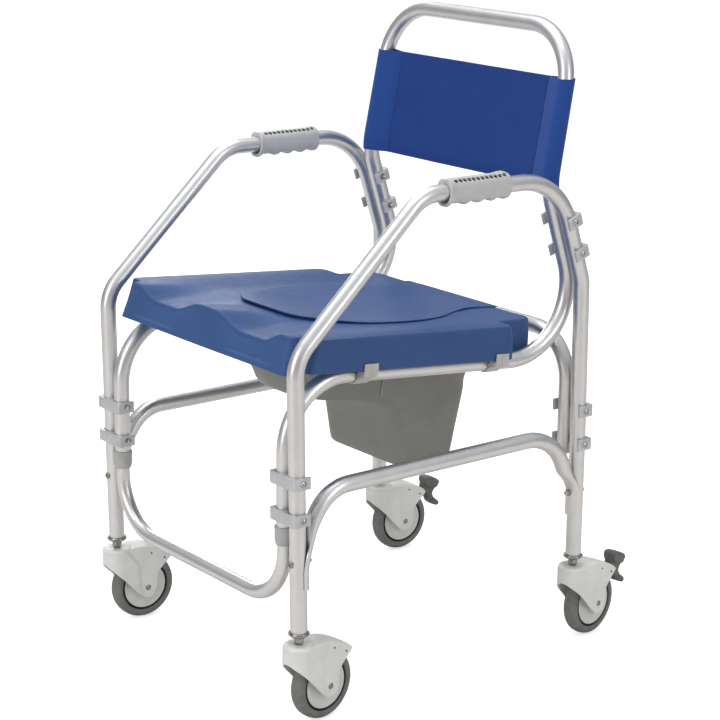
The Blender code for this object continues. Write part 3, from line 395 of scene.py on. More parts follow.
CLOTH = weave_material("woven_sling", srgb(5, 46, 116), srgb(24, 71, 148))
THREAD = plastic_material(
    "sewing_thread", srgb(30, 58, 126), srgb(44, 76, 148), rough=(0.6, 0.8), grain=4000,
    mottle=300, strength=0.3, depth=0.00005)


# ---------------------------------------------------------------- mesh helpers
def put(obj, material, replaces=None, body="frame", smooth=40):
    obj.data.materials.clear()
    obj.data.materials.append(material)
    obj.data.shade_smooth()
    obj.data.set_sharp_from_angle(angle=math.radians(smooth))
    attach(obj, body)
    if replaces:
        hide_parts(replaces)


def link_object(name, data):
    obj = bpy.data.objects.new(name, data)
    bpy.context.scene.collection.objects.link(obj)
    return obj


def mesh_object(name, bm, offset=True):
    bmesh.ops.recalc_face_normals(bm, faces=bm.faces)
    if offset:
        bmesh.ops.translate(bm, vec=OFFSET, verts=bm.verts)
    mesh = bpy.data.meshes.new(name)
    bm.to_mesh(mesh)
    bm.free()
    return link_object(name, mesh)


def placed_copy(name, mesh, matrix):
    obj = link_object(name, mesh.copy())
    obj.data.transform(move(*OFFSET) @ matrix)
    return obj


def taken_mesh(obj):
    """A copy of an object's mesh; the object itself is removed."""
    mesh = obj.data.copy()
    bpy.data.objects.remove(obj, do_unlink=True)
    return mesh


def apply_modifiers(obj):
    bpy.context.view_layer.update()
    graph = bpy.context.evaluated_depsgraph_get()
    mesh = bpy.data.meshes.new_from_object(obj.evaluated_get(graph))
    obj.modifiers.clear()
    old = obj.data
    obj.data = mesh
    bpy.data.meshes.remove(old)


def cut(obj, *cutters):
    for cutter in cutters:
        boolean = obj.modifiers.new("cut", "BOOLEAN")
        boolean.operation = "DIFFERENCE"
        boolean.solver = "EXACT"
        boolean.object = cutter
    apply_modifiers(obj)
    for cutter in cutters:
        mesh = cutter.data
        bpy.data.objects.remove(cutter, do_unlink=True)
        if mesh.users == 0:
            bpy.data.meshes.remove(mesh)


def add_ring(bm, points):
    return [bm.verts.new(p) for p in points]


def circle_ring(bm, radius, z, count, phase=0.0):
    angles = [2 * math.pi * k / count + phase for k in range(count)]
    return add_ring(bm, [(radius * math.cos(a), radius * math.sin(a), z) for a in angles])


def bridge(bm, first, second):
    """Quads between two closed rings."""
    faces = []
    for k in range(len(first)):
        j = (k + 1) % len(first)
        faces.append(bm.faces.new((first[k], first[j], second[j], second[k])))
    return faces


def loft(bm, rings):
    """Skin through closed rings, capped at both ends."""
    for first, second in zip(rings[:-1], rings[1:]):
        bridge(bm, first, second)
    bm.faces.new(rings[0][::-1])
    bm.faces.new(rings[-1])


def tube_uv(faces, layer, start, end, girth):
    """u runs along the tube, v round it, both in metres."""
    for k, face in enumerate(faces):
        for loop, u, v in zip(face.loops, (start, start, end, end), (k, k + 1, k + 1, k)):
            loop[layer].uv = (u, v / len(faces) * girth)


def fillet_path(points, radii, step_deg=3.5):
    """Rounds the inner corners of a path, one radius each."""
    points = [Vector(p) for p in points]
    path = [points[0]]
    for before, corner, after, radius in zip(points, points[1:], points[2:], radii):
        if radius <= 0:
            path.append(corner)
            continue
        back, ahead = (before - corner).normalized(), (after - corner).normalized()
        angle = back.angle(ahead)
        reach = radius / math.tan(angle / 2)
        centre = corner + (back + ahead).normalized() * (radius / math.sin(angle / 2))
        start, end = corner + back * reach - centre, corner + ahead * reach - centre
        turn = math.pi - angle
        steps = max(3, int(math.ceil(math.degrees(turn) / step_deg)))
        for k in range(steps + 1):
            t = k / steps
            path.append(centre + (math.sin((1 - t) * turn) * start + math.sin(t * turn) * end)
                        / math.sin(turn))
    path.append(points[-1])
    return path


def dense(path, step=0.03):
    """Splits long straight runs."""
    result = [path[0]]
    for start, end in zip(path[:-1], path[1:]):
        count = max(1, int((end - start).length / step))
        result += [start.lerp(end, k / count) for k in range(1, count + 1)]
    return result


def tube(name, path, radius, replaces, hollow=False, sides=40, wall=0.0015):
    """Round tube swept along a path; hollow ends show the wall and the bore."""
    path = dense(path)
    bm = bmesh.new()
    layer = bm.loops.layers.uv.new("tube")
    rings, lengths, tangents = [], [], []
    length = 0.0
    tangent = (path[1] - path[0]).normalized()
    normal = tangent.orthogonal().normalized()
    for i, point in enumerate(path):
        before = point - path[i - 1] if i else path[1] - path[0]
        after = path[i + 1] - point if i < len(path) - 1 else before
        if i:
            length += before.length
        previous = tangent
        tangent = (before.normalized() + after.normalized()).normalized()
        normal = (previous.rotation_difference(tangent) @ normal).normalized()
        normal = (normal - tangent * normal.dot(tangent)).normalized()
        side = tangent.cross(normal)
        angles = [2 * math.pi * k / sides for k in range(sides)]
        rings.append(add_ring(bm, [point + normal * (radius * math.cos(a))
                                   + side * (radius * math.sin(a)) for a in angles]))
        lengths.append(length)
        tangents.append(tangent)
    for i in range(len(rings) - 1):
        tube_uv(bridge(bm, rings[i], rings[i + 1]), layer, lengths[i], lengths[i + 1],
                2 * math.pi * radius)
    for ring, point, inward in ((rings[0], path[0], tangents[0]),
                                (rings[-1], path[-1], -tangents[-1])):
        last = ring
        if hollow:
            for bore, depth in ((radius - wall * 0.3, -0.0002), (radius - wall, 0.0),
                                (radius - wall, 0.018)):
                inner = add_ring(bm, [point + (v.co - point).normalized() * bore
                                      + inward * depth for v in ring])
                bridge(bm, last, inner)
                last = inner
        else:
            last = add_ring(bm, [point + (v.co - point) * 0.86 - inward * 0.0004 for v in ring])
            bridge(bm, ring, last)
        bm.faces.new(last)
    put(mesh_object(name, bm), ALUMINIUM, replaces, smooth=50)


def turned(name, profile, matrix, material, replaces=None, body="frame", steps=40,
           closed=False, smooth=35):
    """Profile of (radius, z) revolved about local Z, then placed by matrix."""
    bm = bmesh.new()
    rows = []
    for radius, z in profile:
        if radius < 1e-7:
            rows.append([bm.verts.new((0, 0, z))])
        else:
            rows.append(circle_ring(bm, radius, z, steps))
    for first, second in zip(rows, rows[1:] + (rows[:1] if closed else [])):
        if len(first) > 1 and len(second) > 1:
            bridge(bm, first, second)
            continue
        for k in range(steps):
            j = (k + 1) % steps
            if len(first) == 1:
                bm.faces.new((first[0], second[k], second[j]))
            else:
                bm.faces.new((first[k], first[j], second[0]))
    bmesh.ops.transform(bm, matrix=matrix, verts=bm.verts)
    put(mesh_object(name, bm), material, replaces, body, smooth)


def mirrored(half):
    """Half profile of (radius, z) down to z = 0, continued below it."""
    return half + [(radius, -z) for radius, z in reversed(half) if z]


def round_profile(points, radius, steps=2):
    """Rounds the inner corners of an open (radius, z) profile."""
    result = [points[0]]
    for trio in zip(points, points[1:], points[2:]):
        before, corner, after = (Vector(p) for p in trio)
        reach = min(radius, (before - corner).length * 0.45, (after - corner).length * 0.45)
        start = corner + (before - corner).normalized() * reach
        end = corner + (after - corner).normalized() * reach
        for k in range(steps + 1):
            t = k / steps
            result.append(tuple((1 - t) ** 2 * start + 2 * t * (1 - t) * corner + t * t * end))
    result.append(points[-1])
    return result


def arc(x, y, radius, start, end, steps):
    """Points of an arc about (x, y), angles in degrees."""
    angles = [math.radians(lerp(start, end, k / steps)) for k in range(steps + 1)]
    return [(x + radius * math.cos(a), y + radius * math.sin(a)) for a in angles]


def extrude_outline(name, loops, half, matrix, bevel, segments=2):
    """Filled outline with holes, thickened by half each way, edges rounded, then placed."""
    curve = bpy.data.curves.new(name, "CURVE")
    curve.dimensions = "2D"
    curve.fill_mode = "BOTH"
    curve.extrude = half
    for loop in loops:
        spline = curve.splines.new("POLY")
        spline.points.add(len(loop) - 1)
        for point, place in zip(spline.points, loop):
            point.co = (place[0], place[1], 0.0, 1.0)
        spline.use_cyclic_u = True
    holder = link_object(name + "_cu", curve)
    bpy.context.view_layer.update()
    graph = bpy.context.evaluated_depsgraph_get()
    mesh = bpy.data.meshes.new_from_object(holder.evaluated_get(graph))
    bpy.data.objects.remove(holder, do_unlink=True)
    bpy.data.curves.remove(curve)
    bm = bmesh.new()
    bm.from_mesh(mesh)
    bpy.data.meshes.remove(mesh)
    bmesh.ops.remove_doubles(bm, verts=bm.verts, dist=0.00002)
    bmesh.ops.dissolve_limit(bm, angle_limit=math.radians(1), verts=bm.verts, edges=bm.edges)
    bmesh.ops.transform(bm, matrix=matrix, verts=bm.verts)
    obj = mesh_object(name, bm)
    rounding = obj.modifiers.new("bevel", "BEVEL")
    rounding.width = bevel
    rounding.segments = segments
    rounding.limit_method = "ANGLE"
    rounding.angle_limit = math.radians(32)
    apply_modifiers(obj)
    return obj


# outline planes: (x, y) of the outline becomes design (x, z), or design (y, z)
OUTLINE_XZ = Matrix(((1, 0, 0, 0), (0, 0, -1, 0), (0, 1, 0, 0), (0, 0, 0, 1)))
OUTLINE_YZ = Matrix(((0, 0, 1, 0), (1, 0, 0, 0), (0, 1, 0, 0), (0, 0, 0, 1)))

# ---------------------------------------------------------------- frame tubes
SIDE_PROFILE = [(-AXLE_Y, FOOT_Z), KNEE_FRONT, ARM_FRONT, ARM_REAR, KNEE_REAR, ANKLE_REAR,
                (AXLE_Y, FOOT_Z)]
SIDE_RADII = [0.060, 0.070, 0.1085, 0.060, 0.0]
RAIL_RADII = [0.100, 0.107, 0.100, 0.092, 0.092, 0.100, 0.107, 0.100]
CROSS_FOOT_Z, CROSS_TOP_Z, CROSS_BEND = 0.312, 0.5045, 0.075
U_TOP_Z, U_BOTTOM_Z, U_BEND, U_TUBE_R = 0.2994, 0.178, 0.088, 0.0110


def rail_half(sign):
    """Seat rail and back post of one side, from the front foot to the post's top."""
    return [(sign * RAIL_X, RAIL_Y, RAIL_FOOT_Z), (sign * RAIL_X, RAIL_Y, RAIL_FRONT_Z),
            (sign * RAIL_X, *RAIL_REAR), (sign * RAIL_X, *POST_KINK),
            (sign * POST_TOP_X, *POST_TOP)]


def u_path(y, end_z, turn_z_level, bend):
    """U-shaped path across the chair between the two rail lines."""
    return fillet_path([(-RAIL_X, y, end_z), (-RAIL_X, y, turn_z_level),
                        (RAIL_X, y, turn_z_level), (RAIL_X, y, end_z)], [bend, bend])


RAIL_POINTS = rail_half(-1) + rail_half(1)[::-1]
for side, sign in SIDES:
    side_path = fillet_path([(sign * FRAME_X, y, z) for y, z in SIDE_PROFILE], SIDE_RADII)
    tube("tube_side_" + side, side_path, TUBE_R, "side_frame_" + side)
tube("tube_rail_and_back", fillet_path(RAIL_POINTS, RAIL_RADII), TUBE_R, "backrest_rail_tube")
tube("tube_rear_cross", u_path(AXLE_Y, CROSS_FOOT_Z, CROSS_TOP_Z, CROSS_BEND), TUBE_R,
     "rear_cross_tube", hollow=True)
tube("tube_front_u", u_path(RAIL_Y, U_TOP_Z, U_BOTTOM_Z, U_BEND), U_TUBE_R, "front_u_tube")

# side stretchers: round tube whose flattened ends cup the legs
STRETCHER_Z, STRETCHER_FOOT_Z = 0.3570, 0.2140
CUP_TOP_Z, ROUND_FROM_Z = 0.236, 0.331      # full cup below, round tube above (front end)
BEND_FRONT, BEND_REAR = 0.065, 0.085
STRETCHER_OFF = 2 * TUBE_R + 0.0004         # stretcher axis to leg axis
STRETCHER_SIDES = 44
STRETCHER_GIRTH = 0.0785


def stretcher_section(cup):
    """(across, away from the leg) points; cup 0 is a round tube, 1 the cup."""
    half = STRETCHER_SIDES // 2
    points = []
    for k in range(STRETCHER_SIDES):
        around = 2 * math.pi * (k + 0.5) / STRETCHER_SIDES
        t = (k % half) / (half - 1)
        if k < half:
            # far skin of the cup, thinning at its rims
            angle = math.radians(lerp(86, -86, t))
            radius = lerp(TUBE_R + 0.0019, 0.0160, 1 - abs(2 * t - 1) ** 6)
        else:
            angle = math.radians(lerp(-86, 86, t))
            radius = TUBE_R + 0.0004
        points.append((lerp(TUBE_R * math.cos(around), radius * math.sin(angle), cup),
                       lerp(TUBE_R * math.sin(around),
                            -STRETCHER_OFF + radius * math.cos(angle), cup)))
    return points


def stretcher(side, sign):
    bm = bmesh.new()
    layer = bm.loops.layers.uv.new("tube")
    rings = []

    def ring(y, z, outward, cup):
        centre = Vector((sign * FRAME_X, y, z))
        rings.append(add_ring(bm, [centre + Vector((across, 0, 0)) + Vector(outward) * away
                                   for across, away in stretcher_section(cup)]))

    def front_cup(z):
        return 1 - smooth_step(CUP_TOP_Z, ROUND_FROM_Z, z)

    # up the front leg
    bend_z = STRETCHER_Z - BEND_FRONT
    for k in range(13):
        z = lerp(STRETCHER_FOOT_Z, CUP_TOP_Z, k / 12)
        ring(leg_y(z, "front") + STRETCHER_OFF, z, (0, 1, 0), 1.0)
    for k in range(1, 15):
        z = lerp(CUP_TOP_Z, bend_z, k / 14)
        ring(leg_y(z, "front") + STRETCHER_OFF, z, (0, 1, 0), front_cup(z))
    # front bend, level run, rear bend
    front_y = leg_y(bend_z, "front") + STRETCHER_OFF
    for k in range(1, 19):
        angle = math.radians(90 * k / 18)
        ring(front_y + BEND_FRONT - math.cos(angle) * BEND_FRONT,
             bend_z + math.sin(angle) * BEND_FRONT,
             (0, math.cos(angle), -math.sin(angle)),
             front_cup(bend_z + math.sin(angle) * BEND_FRONT))
    bend_z = STRETCHER_Z - BEND_REAR
    rear_y = leg_y(bend_z, "rear") - STRETCHER_OFF
    for k in range(1, 12):
        y = lerp(front_y + BEND_FRONT, rear_y - BEND_REAR, k / 12)
        ring(y, STRETCHER_Z, (0, 0, -1), 0.0)
    for k in range(19):
        angle = math.radians(90 * k / 18)
        ring(rear_y - BEND_REAR + math.sin(angle) * BEND_REAR,
             bend_z + math.cos(angle) * BEND_REAR,
             (0, -math.sin(angle), -math.cos(angle)), smooth_step(0.80, 1.12, k / 18))
    # down the rear leg
    for k in range(1, 9):
        z = lerp(bend_z, STRETCHER_FOOT_Z + 0.002, k / 8)
        ring(leg_y(z, "rear") - STRETCHER_OFF, z, (0, -1, 0),
             lerp(smooth_step(0.80, 1.12, 1.0), 1.0, min(1, k / 2)))
    length = 0.0
    for first, second in zip(rings[:-1], rings[1:]):
        end = length + (second[0].co - first[0].co).length
        tube_uv(bridge(bm, first, second), layer, length, end, STRETCHER_GIRTH)
        length = end
    bm.faces.new(rings[0][::-1])
    bm.faces.new(rings[-1])
    put(mesh_object("tube_stretcher_" + side, bm), ALUMINIUM,
        "side_stretcher_" + side, smooth=48)


for side, sign in SIDES:
    stretcher(side, sign)

# sleeves where the front U tube meets the rail's feet: (radius, z)
SLEEVE_PROFILE = [
    (0.0126, 0.3030), (0.0150, 0.3030), (0.0153, 0.3022), (0.0153, 0.2992), (0.0148, 0.2986),
    (0.01495, 0.2850), (0.01465, 0.2815), (0.0136, 0.2768), (0.0131, 0.2757),
    (0.0131, 0.2751), (0.0124, 0.2750), (0.0112, 0.2750), (0.0112, 0.3026)]
for side, sign in SIDES:
    turned("sleeve_" + side, round_profile(SLEEVE_PROFILE, 0.0005),
           move(sign * RAIL_X, RAIL_Y, 0), SLEEVE_GREY,
           "reducer_sleeve_" + side, steps=48, closed=True)

# ---------------------------------------------------------------- clamps, screws and nuts
CLAMP_HEIGHT = 0.018
CLAMP_X = (FRAME_X + RAIL_X) / 2            # midway between the two tubes
SADDLE_X = (FRAME_X - RAIL_X) / 2           # tube axis from the clamp's middle
SADDLE_R = TUBE_R + 0.00035
CLAMP_HALF_WIDTH = SADDLE_X + TUBE_R + 0.0043
CLAMP_WEB_Y, CLAMP_TIP_Y = -(TUBE_R + 0.0035), TUBE_R + 0.0010
WEB_ROUND, TIP_ROUND, LIP_ROUND = 0.0045, 0.0015, 0.0006
SCREW_HEAD = [(0.0, 0.0014), (0.0016, 0.0014), (0.0018, 0.0030), (0.0026, 0.0033),
              (0.0040, 0.0025), (0.0048, 0.0012), (0.0050, 0.0), (0.0, 0.0)]   # (radius, z)


def clamp_mesh():
    """Plate with two saddles open towards +Y, a rib between them and three small holes."""
    web_x, web_y = CLAMP_HALF_WIDTH - WEB_ROUND, CLAMP_WEB_Y + WEB_ROUND
    tip_x, tip_y = CLAMP_HALF_WIDTH - TIP_ROUND, CLAMP_TIP_Y - TIP_ROUND
    lip_x, lip_y = SADDLE_X + SADDLE_R + LIP_ROUND, CLAMP_TIP_Y - LIP_ROUND
    outline = (arc(web_x, web_y, WEB_ROUND, 270, 360, 6)
               + arc(tip_x, tip_y, TIP_ROUND, 0, 90, 4)
               + arc(lip_x, lip_y, LIP_ROUND, 90, 180, 2)
               + arc(SADDLE_X, 0, SADDLE_R, -2, -152, 20)
               + arc(0, -0.0064, 0.0019, 10, 170, 8)
               + arc(-SADDLE_X, 0, SADDLE_R, -28, -178, 20)
               + arc(-lip_x, lip_y, LIP_ROUND, 0, 90, 2)
               + arc(-tip_x, tip_y, TIP_ROUND, 90, 180, 4)
               + arc(-web_x, web_y, WEB_ROUND, 180, 270, 6))
    side_x, side_y = SADDLE_X + TUBE_R + 0.0016, -(TUBE_R + 0.0008)
    holes = [arc(x, y, radius, 0, 330, 11) for x, y, radius in
             ((0.0, -0.0068, 0.0009), (side_x, side_y, 0.0008), (-side_x, side_y, 0.0008))]
    return taken_mesh(extrude_outline("clamp_proto", [outline] + holes, CLAMP_HEIGHT / 2,
                                      move(-OFFSET.x, -OFFSET.y, 0), bevel=0.00055))


CLAMP_MESH = clamp_mesh()


def acorn_nut(name, matrix, across_flats=0.0080):
    """Washer, hexagon and dome along local +Z from the seat at z = 0."""
    bm = bmesh.new()
    hex_r = across_flats / 2 / math.cos(math.pi / 6)
    dome_r, dome_height = 0.0036, 0.0034
    washer = [(0.0056, 0.0), (0.0058, 0.0002), (0.0058, 0.0008), (0.0056, 0.0010)]
    hexagon = [(hex_r * 0.93, 0.0010), (hex_r, 0.0014), (hex_r, 0.0038), (hex_r * 0.90, 0.0043)]
    angles = [math.radians(a) for a in (0, 20, 40, 58, 74, 85)]
    dome = [(dome_r, 0.0040)] + [(dome_r * math.cos(a), 0.0046 + dome_height * math.sin(a))
                                 for a in angles]
    for profile, count in ((washer, 24), (hexagon, 6), (dome, 20)):
        loft(bm, [circle_ring(bm, radius, z, count, phase=0.3) for radius, z in profile])
    bmesh.ops.transform(bm, matrix=matrix, verts=bm.verts)
    put(mesh_object(name, bm), ZINC, smooth=30)


def clamp(name, sign, y, z, lean, web_behind):
    base = move(sign * CLAMP_X, y, z) @ turn_x(lean)
    facing = turn_z(math.pi) if web_behind else Matrix.Identity(4)
    put(placed_copy("bracket_" + name, CLAMP_MESH, base @ facing), CLAMP_METAL,
        name, smooth=35)
    # button head outboard, acorn nut inboard, shank between
    head_x = sign * (CLAMP_HALF_WIDTH + 0.0001)
    turned("screw_head_" + name, round_profile(SCREW_HEAD, 0.0003),
           base @ move(head_x, 0, 0) @ turn_y(sign * math.pi / 2), ZINC,
           steps=24)
    acorn_nut("acorn_nut_" + name, base @ move(-head_x, 0, 0) @ turn_y(-sign * math.pi / 2))
    turned("screw_shank_" + name, mirrored([(0.0, CLAMP_HALF_WIDTH), (0.0024, CLAMP_HALF_WIDTH)]),
           base @ turn_y(math.pi / 2), STEEL, steps=14)


FRONT_LEAN = 0.5 * math.atan(-(KNEE_FRONT[0] + AXLE_Y) / (KNEE_FRONT[1] - FOOT_Z))
# name stem, y, z, lean, web behind the tubes
CLAMPS = (
    [("front_clamp_" + level, min(RAIL_Y, leg_y(z, "front")) - 0.0001, z, FRONT_LEAN, False)
     for level, z in (("upper", 0.3780), ("lower", 0.3225))]
    + [("rear_clamp_" + level, AXLE_Y + 0.0001, z, 0.0, True)
       for level, z in (("upper", 0.3895), ("lower", 0.3345))]
    + [("post_clamp_" + level, line_y(ARM_REAR, KNEE_REAR, z), z, -math.atan(BACK_LEAN), True)
       for level, z in (("upper", 0.6975), ("lower", 0.6465))])
for side, sign in SIDES:
    for stem, y, z, lean, web_behind in CLAMPS:
        clamp(stem + "_" + side, sign, y, z, lean, web_behind)

# bolts through legs and stretcher ends: head on the leg, acorn nut on the cup
BOLT_Z = 0.254
BOLT_SEAT = TUBE_R - 0.0002
# (radius, height over the seat)
BOLT_HEAD = [(0.0, 0.0016), (0.0017, 0.0016), (0.0020, 0.0031), (0.0030, 0.0034),
             (0.0046, 0.0026), (0.0054, 0.0012), (0.0055, 0.0), (0.0028, 0.0)]
BOLT_PROFILE = ([(radius, BOLT_SEAT + z) for radius, z in BOLT_HEAD]
                + [(0.0028, -0.0165), (0.0, -0.0165)])
for side, sign in SIDES:
    for end, tilt in (("front", math.pi / 2), ("rear", -math.pi / 2)):
        base = move(sign * FRAME_X, leg_y(BOLT_Z, end), BOLT_Z) @ turn_x(tilt)
        turned("bolt_%s_%s" % (end, side), round_profile(BOLT_PROFILE, 0.0003), base, STEEL,
               "stretcher_bolt_%s_%s" % (end, side), steps=24)
        acorn_nut("bolt_nut_%s_%s" % (end, side), base @ move(0, 0, -0.0163) @ turn_x(math.pi))

# ---------------------------------------------------------------- casters
# local frame: swivel axis at the origin, the wheel trails along +Y, z from the floor
SWIVEL_DEG = {"front_left": 3.3, "front_right": -6.6, "rear_left": 2.7, "rear_right": -8.4}
WHEEL_R, TRAIL = 0.0545, 0.0450
BARREL_R = 0.0240
# top and lower edge of the hood: (y, z)
HOOD_TOP = [
    (-0.024, 0.1272), (0.0225, 0.1272), (0.030, 0.1276), (0.038, 0.1272), (0.047, 0.1256),
    (0.056, 0.1230), (0.066, 0.1192), (0.075, 0.1150), (0.083, 0.1106), (0.0868, 0.1078),
    (0.0890, 0.1045)]
HOOD_LOW = [
    (-0.024, 0.1015), (-0.0205, 0.0965), (-0.0130, 0.0892), (0.0015, 0.0752), (0.0106, 0.0653),
    (0.0190, 0.0560), (0.0270, 0.0480), (0.0330, 0.0425), (0.0385, 0.0392), (0.0445, 0.0379),
    (0.0505, 0.0388), (0.0560, 0.0424), (0.0600, 0.0484), (0.0614, 0.0560), (0.0612, 0.0561),
    (0.0617, 0.0650), (0.0635, 0.0760), (0.0690, 0.0832), (0.0745, 0.0888), (0.0820, 0.0950),
    (0.0865, 0.0990), (0.0890, 0.1025)]
# stations along the cheeks: y
CHEEK_Y = [
    0.003, 0.006, 0.009, 0.012, 0.015, 0.018, 0.021, 0.0225, 0.024, 0.0255, 0.027, 0.0285,
    0.030, 0.0315, 0.033, 0.035, 0.0385, 0.0415, 0.0445, 0.0475, 0.0505, 0.0535, 0.056, 0.0582,
    0.0600, 0.0609, 0.0616, 0.0625, 0.0640, 0.0665, 0.0690, 0.0720, 0.0745, 0.0780, 0.0810,
    0.0835, 0.0855, 0.0868, 0.0880, 0.0888]


def interpolate(table, x):
    for (start, low), (end, high) in zip(table[:-1], table[1:]):
        if x <= end:
            return lerp(low, high, max(0.0, (x - start) / (end - start)))
    return table[-1][1]


def cheek_half_width(y, z):
    """The cheeks step in behind the barrel, along a line that leans with height."""
    if z > 0.098:
        step_y = 0.0085 + (0.1208 - z) * (0.0175 / 0.0228)
    else:
        step_y = 0.026 + (0.098 - z) * (0.003 / 0.045)
    return (lerp(BARREL_R, 0.0215, smooth_step(step_y - 0.0005, step_y + 0.0040, y))
            - 0.0006 * smooth_step(0.060, 0.088, y))


def hood_column(y, barrel_x, rows=26, round_steps=6):
    """(x, y, z) from the lower edge up and over the rounded top; barrel_x is None on cheeks."""
    top, low = interpolate(HOOD_TOP, y), interpolate(HOOD_LOW, y)
    on_cheek = barrel_x is None
    radius = min(0.0042 if on_cheek else 0.0032, (top - low) * 0.45)
    points = []
    for v in range(rows):
        z = lerp(low, top - radius, v / (rows - 1))
        points.append((cheek_half_width(y, z) if on_cheek else barrel_x, y, z))
    for k in range(1, round_steps + 1):
        angle = math.radians(90 * k / round_steps)
        z = top - radius + radius * math.sin(angle)
        inset = radius * (1 - math.cos(angle))
        if on_cheek:
            points.append((cheek_half_width(y, top - radius) - inset, y, z))
        else:
            scale = 1 - inset / BARREL_R
            points.append((barrel_x * scale, y * scale, z))
    return points


def hood_mesh(span=8):
    """Moulded fork hood: round barrel in front, flat cheeks behind, open underneath."""
    angles = [math.radians(90 * k / 24) for k in range(25)]
    stations = [(-BARREL_R * math.cos(a), BARREL_R * math.sin(a)) for a in angles]
    stations += [(y, None) for y in CHEEK_Y]
    bm = bmesh.new()
    columns = {sign: [add_ring(bm, [(sign * x, y, z) for x, y, z in hood_column(*station)])
                      for station in stations] for sign in (-1, 1)}
    for sign in (-1, 1):
        for first, second in zip(columns[sign][:-1], columns[sign][1:]):
            for i in range(len(first) - 1):
                bm.faces.new((first[i], second[i], second[i + 1], first[i + 1]))
    # roof between the two rounded edges, slightly crowned
    previous = None
    for left, right in zip(columns[-1], columns[1]):
        row = [left[-1]]
        for k in range(1, span):
            point = left[-1].co.lerp(right[-1].co, k / span)
            crown = math.sin(math.pi * (k / span))
            point.z += 0.0007 * crown * smooth_step(0.020, 0.034, point.y)
            row.append(bm.verts.new(point))
        row.append(right[-1])
        if previous is not None:
            for k in range(span):
                bm.faces.new((previous[k], previous[k + 1], row[k + 1], row[k]))
        previous = row
    bmesh.ops.remove_doubles(bm, verts=bm.verts, dist=0.00003)
    bmesh.ops.recalc_face_normals(bm, faces=bm.faces)
    # the shell is open, so make sure that it faces outwards before it is thickened
    if max(bm.faces, key=lambda f: f.calc_center_median().z).normal.z < 0:
        bmesh.ops.reverse_faces(bm, faces=bm.faces)
    mesh = bpy.data.meshes.new("hood")
    bm.to_mesh(mesh)
    bm.free()
    obj = link_object("hood_proto", mesh)
    wall = obj.modifiers.new("wall", "SOLIDIFY")
    wall.thickness = 0.0024
    wall.offset = -1
    wall.use_even_offset = False
    apply_modifiers(obj)
    bore = bmesh.new()
    bmesh.ops.create_cone(bore, cap_ends=True, segments=32, radius1=0.0050, radius2=0.0050,
                          depth=0.060)
    bmesh.ops.transform(bore, matrix=move(0, TRAIL, WHEEL_R) @ turn_y(math.pi / 2),
                        verts=bore.verts)
    cut(obj, mesh_object("axle_bore", bore, offset=False))
    return taken_mesh(obj)


HOOD_MESH = hood_mesh()

# (radius, height over the leg's foot)
COLLAR = [(0.0, -0.0002), (0.0126, -0.0002), (0.0127, 0.0024), (0.0132, 0.0036),
          (0.0142, 0.0041), (0.0153, 0.0034), (0.0159, 0.0020), (0.0158, 0.0004),
          (0.0150, -0.0008), (0.0138, -0.0014), (0.0134, -0.0022), (0.0112, -0.0034),
          (0.0080, -0.0040), (0.0, -0.0040)]
STEM_NUT = [(0.0073, -0.0038), (0.0081, -0.0046), (0.0081, -0.0118), (0.0074, -0.0127),
            (0.0052, -0.0129)]
STEM_PIN_LOW_Z = 0.1262
# (radius, z)
CAP = [(0.0, 0.1276), (0.0052, 0.1276), (0.0056, 0.1282), (0.0190, 0.1284), (0.0208, 0.1281),
       (0.0222, 0.1275), (0.0229, 0.1268), (0.0229, 0.1262), (0.0235, 0.1256),
       (0.0235, 0.1236), (0.0, 0.1236)]
BOSS = [(0.0, 0.1240), (0.0212, 0.1240), (0.0212, 0.1180), (0.0150, 0.1130), (0.0, 0.1130)]
# (radius, distance from the wheel's middle along the axle)
AXLE = mirrored([
    (0.0, 0.0217), (0.0019, 0.0217), (0.0021, 0.0226), (0.0036, 0.0228), (0.0046, 0.0222),
    (0.0049, 0.0212), (0.0040, 0.0205), (0.0040, 0.0140), (0.0066, 0.0138), (0.0066, 0.0124),
    (0.0040, 0.0122)])
RIVET = mirrored([(0.0, 0.0221), (0.0012, 0.0221), (0.0015, 0.0217)])
HUB = mirrored([
    (0.0046, 0.0128), (0.0090, 0.0128), (0.0098, 0.0120), (0.0130, 0.0114), (0.0240, 0.0106),
    (0.0330, 0.0102), (0.0352, 0.0108), (0.0372, 0.0108), (0.0378, 0.0100)])
BEAD = mirrored([(0.0376, 0.0092), (0.0380, 0.0104), (0.0390, 0.0108), (0.0404, 0.0104),
                 (0.0412, 0.0096), (0.0414, 0.0080)])
TREAD = mirrored([
    (0.0413, 0.0085), (0.0414, 0.0106), (0.0420, 0.0116), (0.0440, 0.0121), (0.0468, 0.0120),
    (0.0492, 0.0113), (0.0512, 0.0101), (0.0514, 0.0096), (0.0519, 0.0095), (0.0530, 0.0080),
    (0.0539, 0.0056), (0.0544, 0.0028), (WHEEL_R, 0.0006), (0.05435, 0.0)])
RIVETS = ((0.0520, 0.1135), (0.0765, 0.1015))    # (y, z)

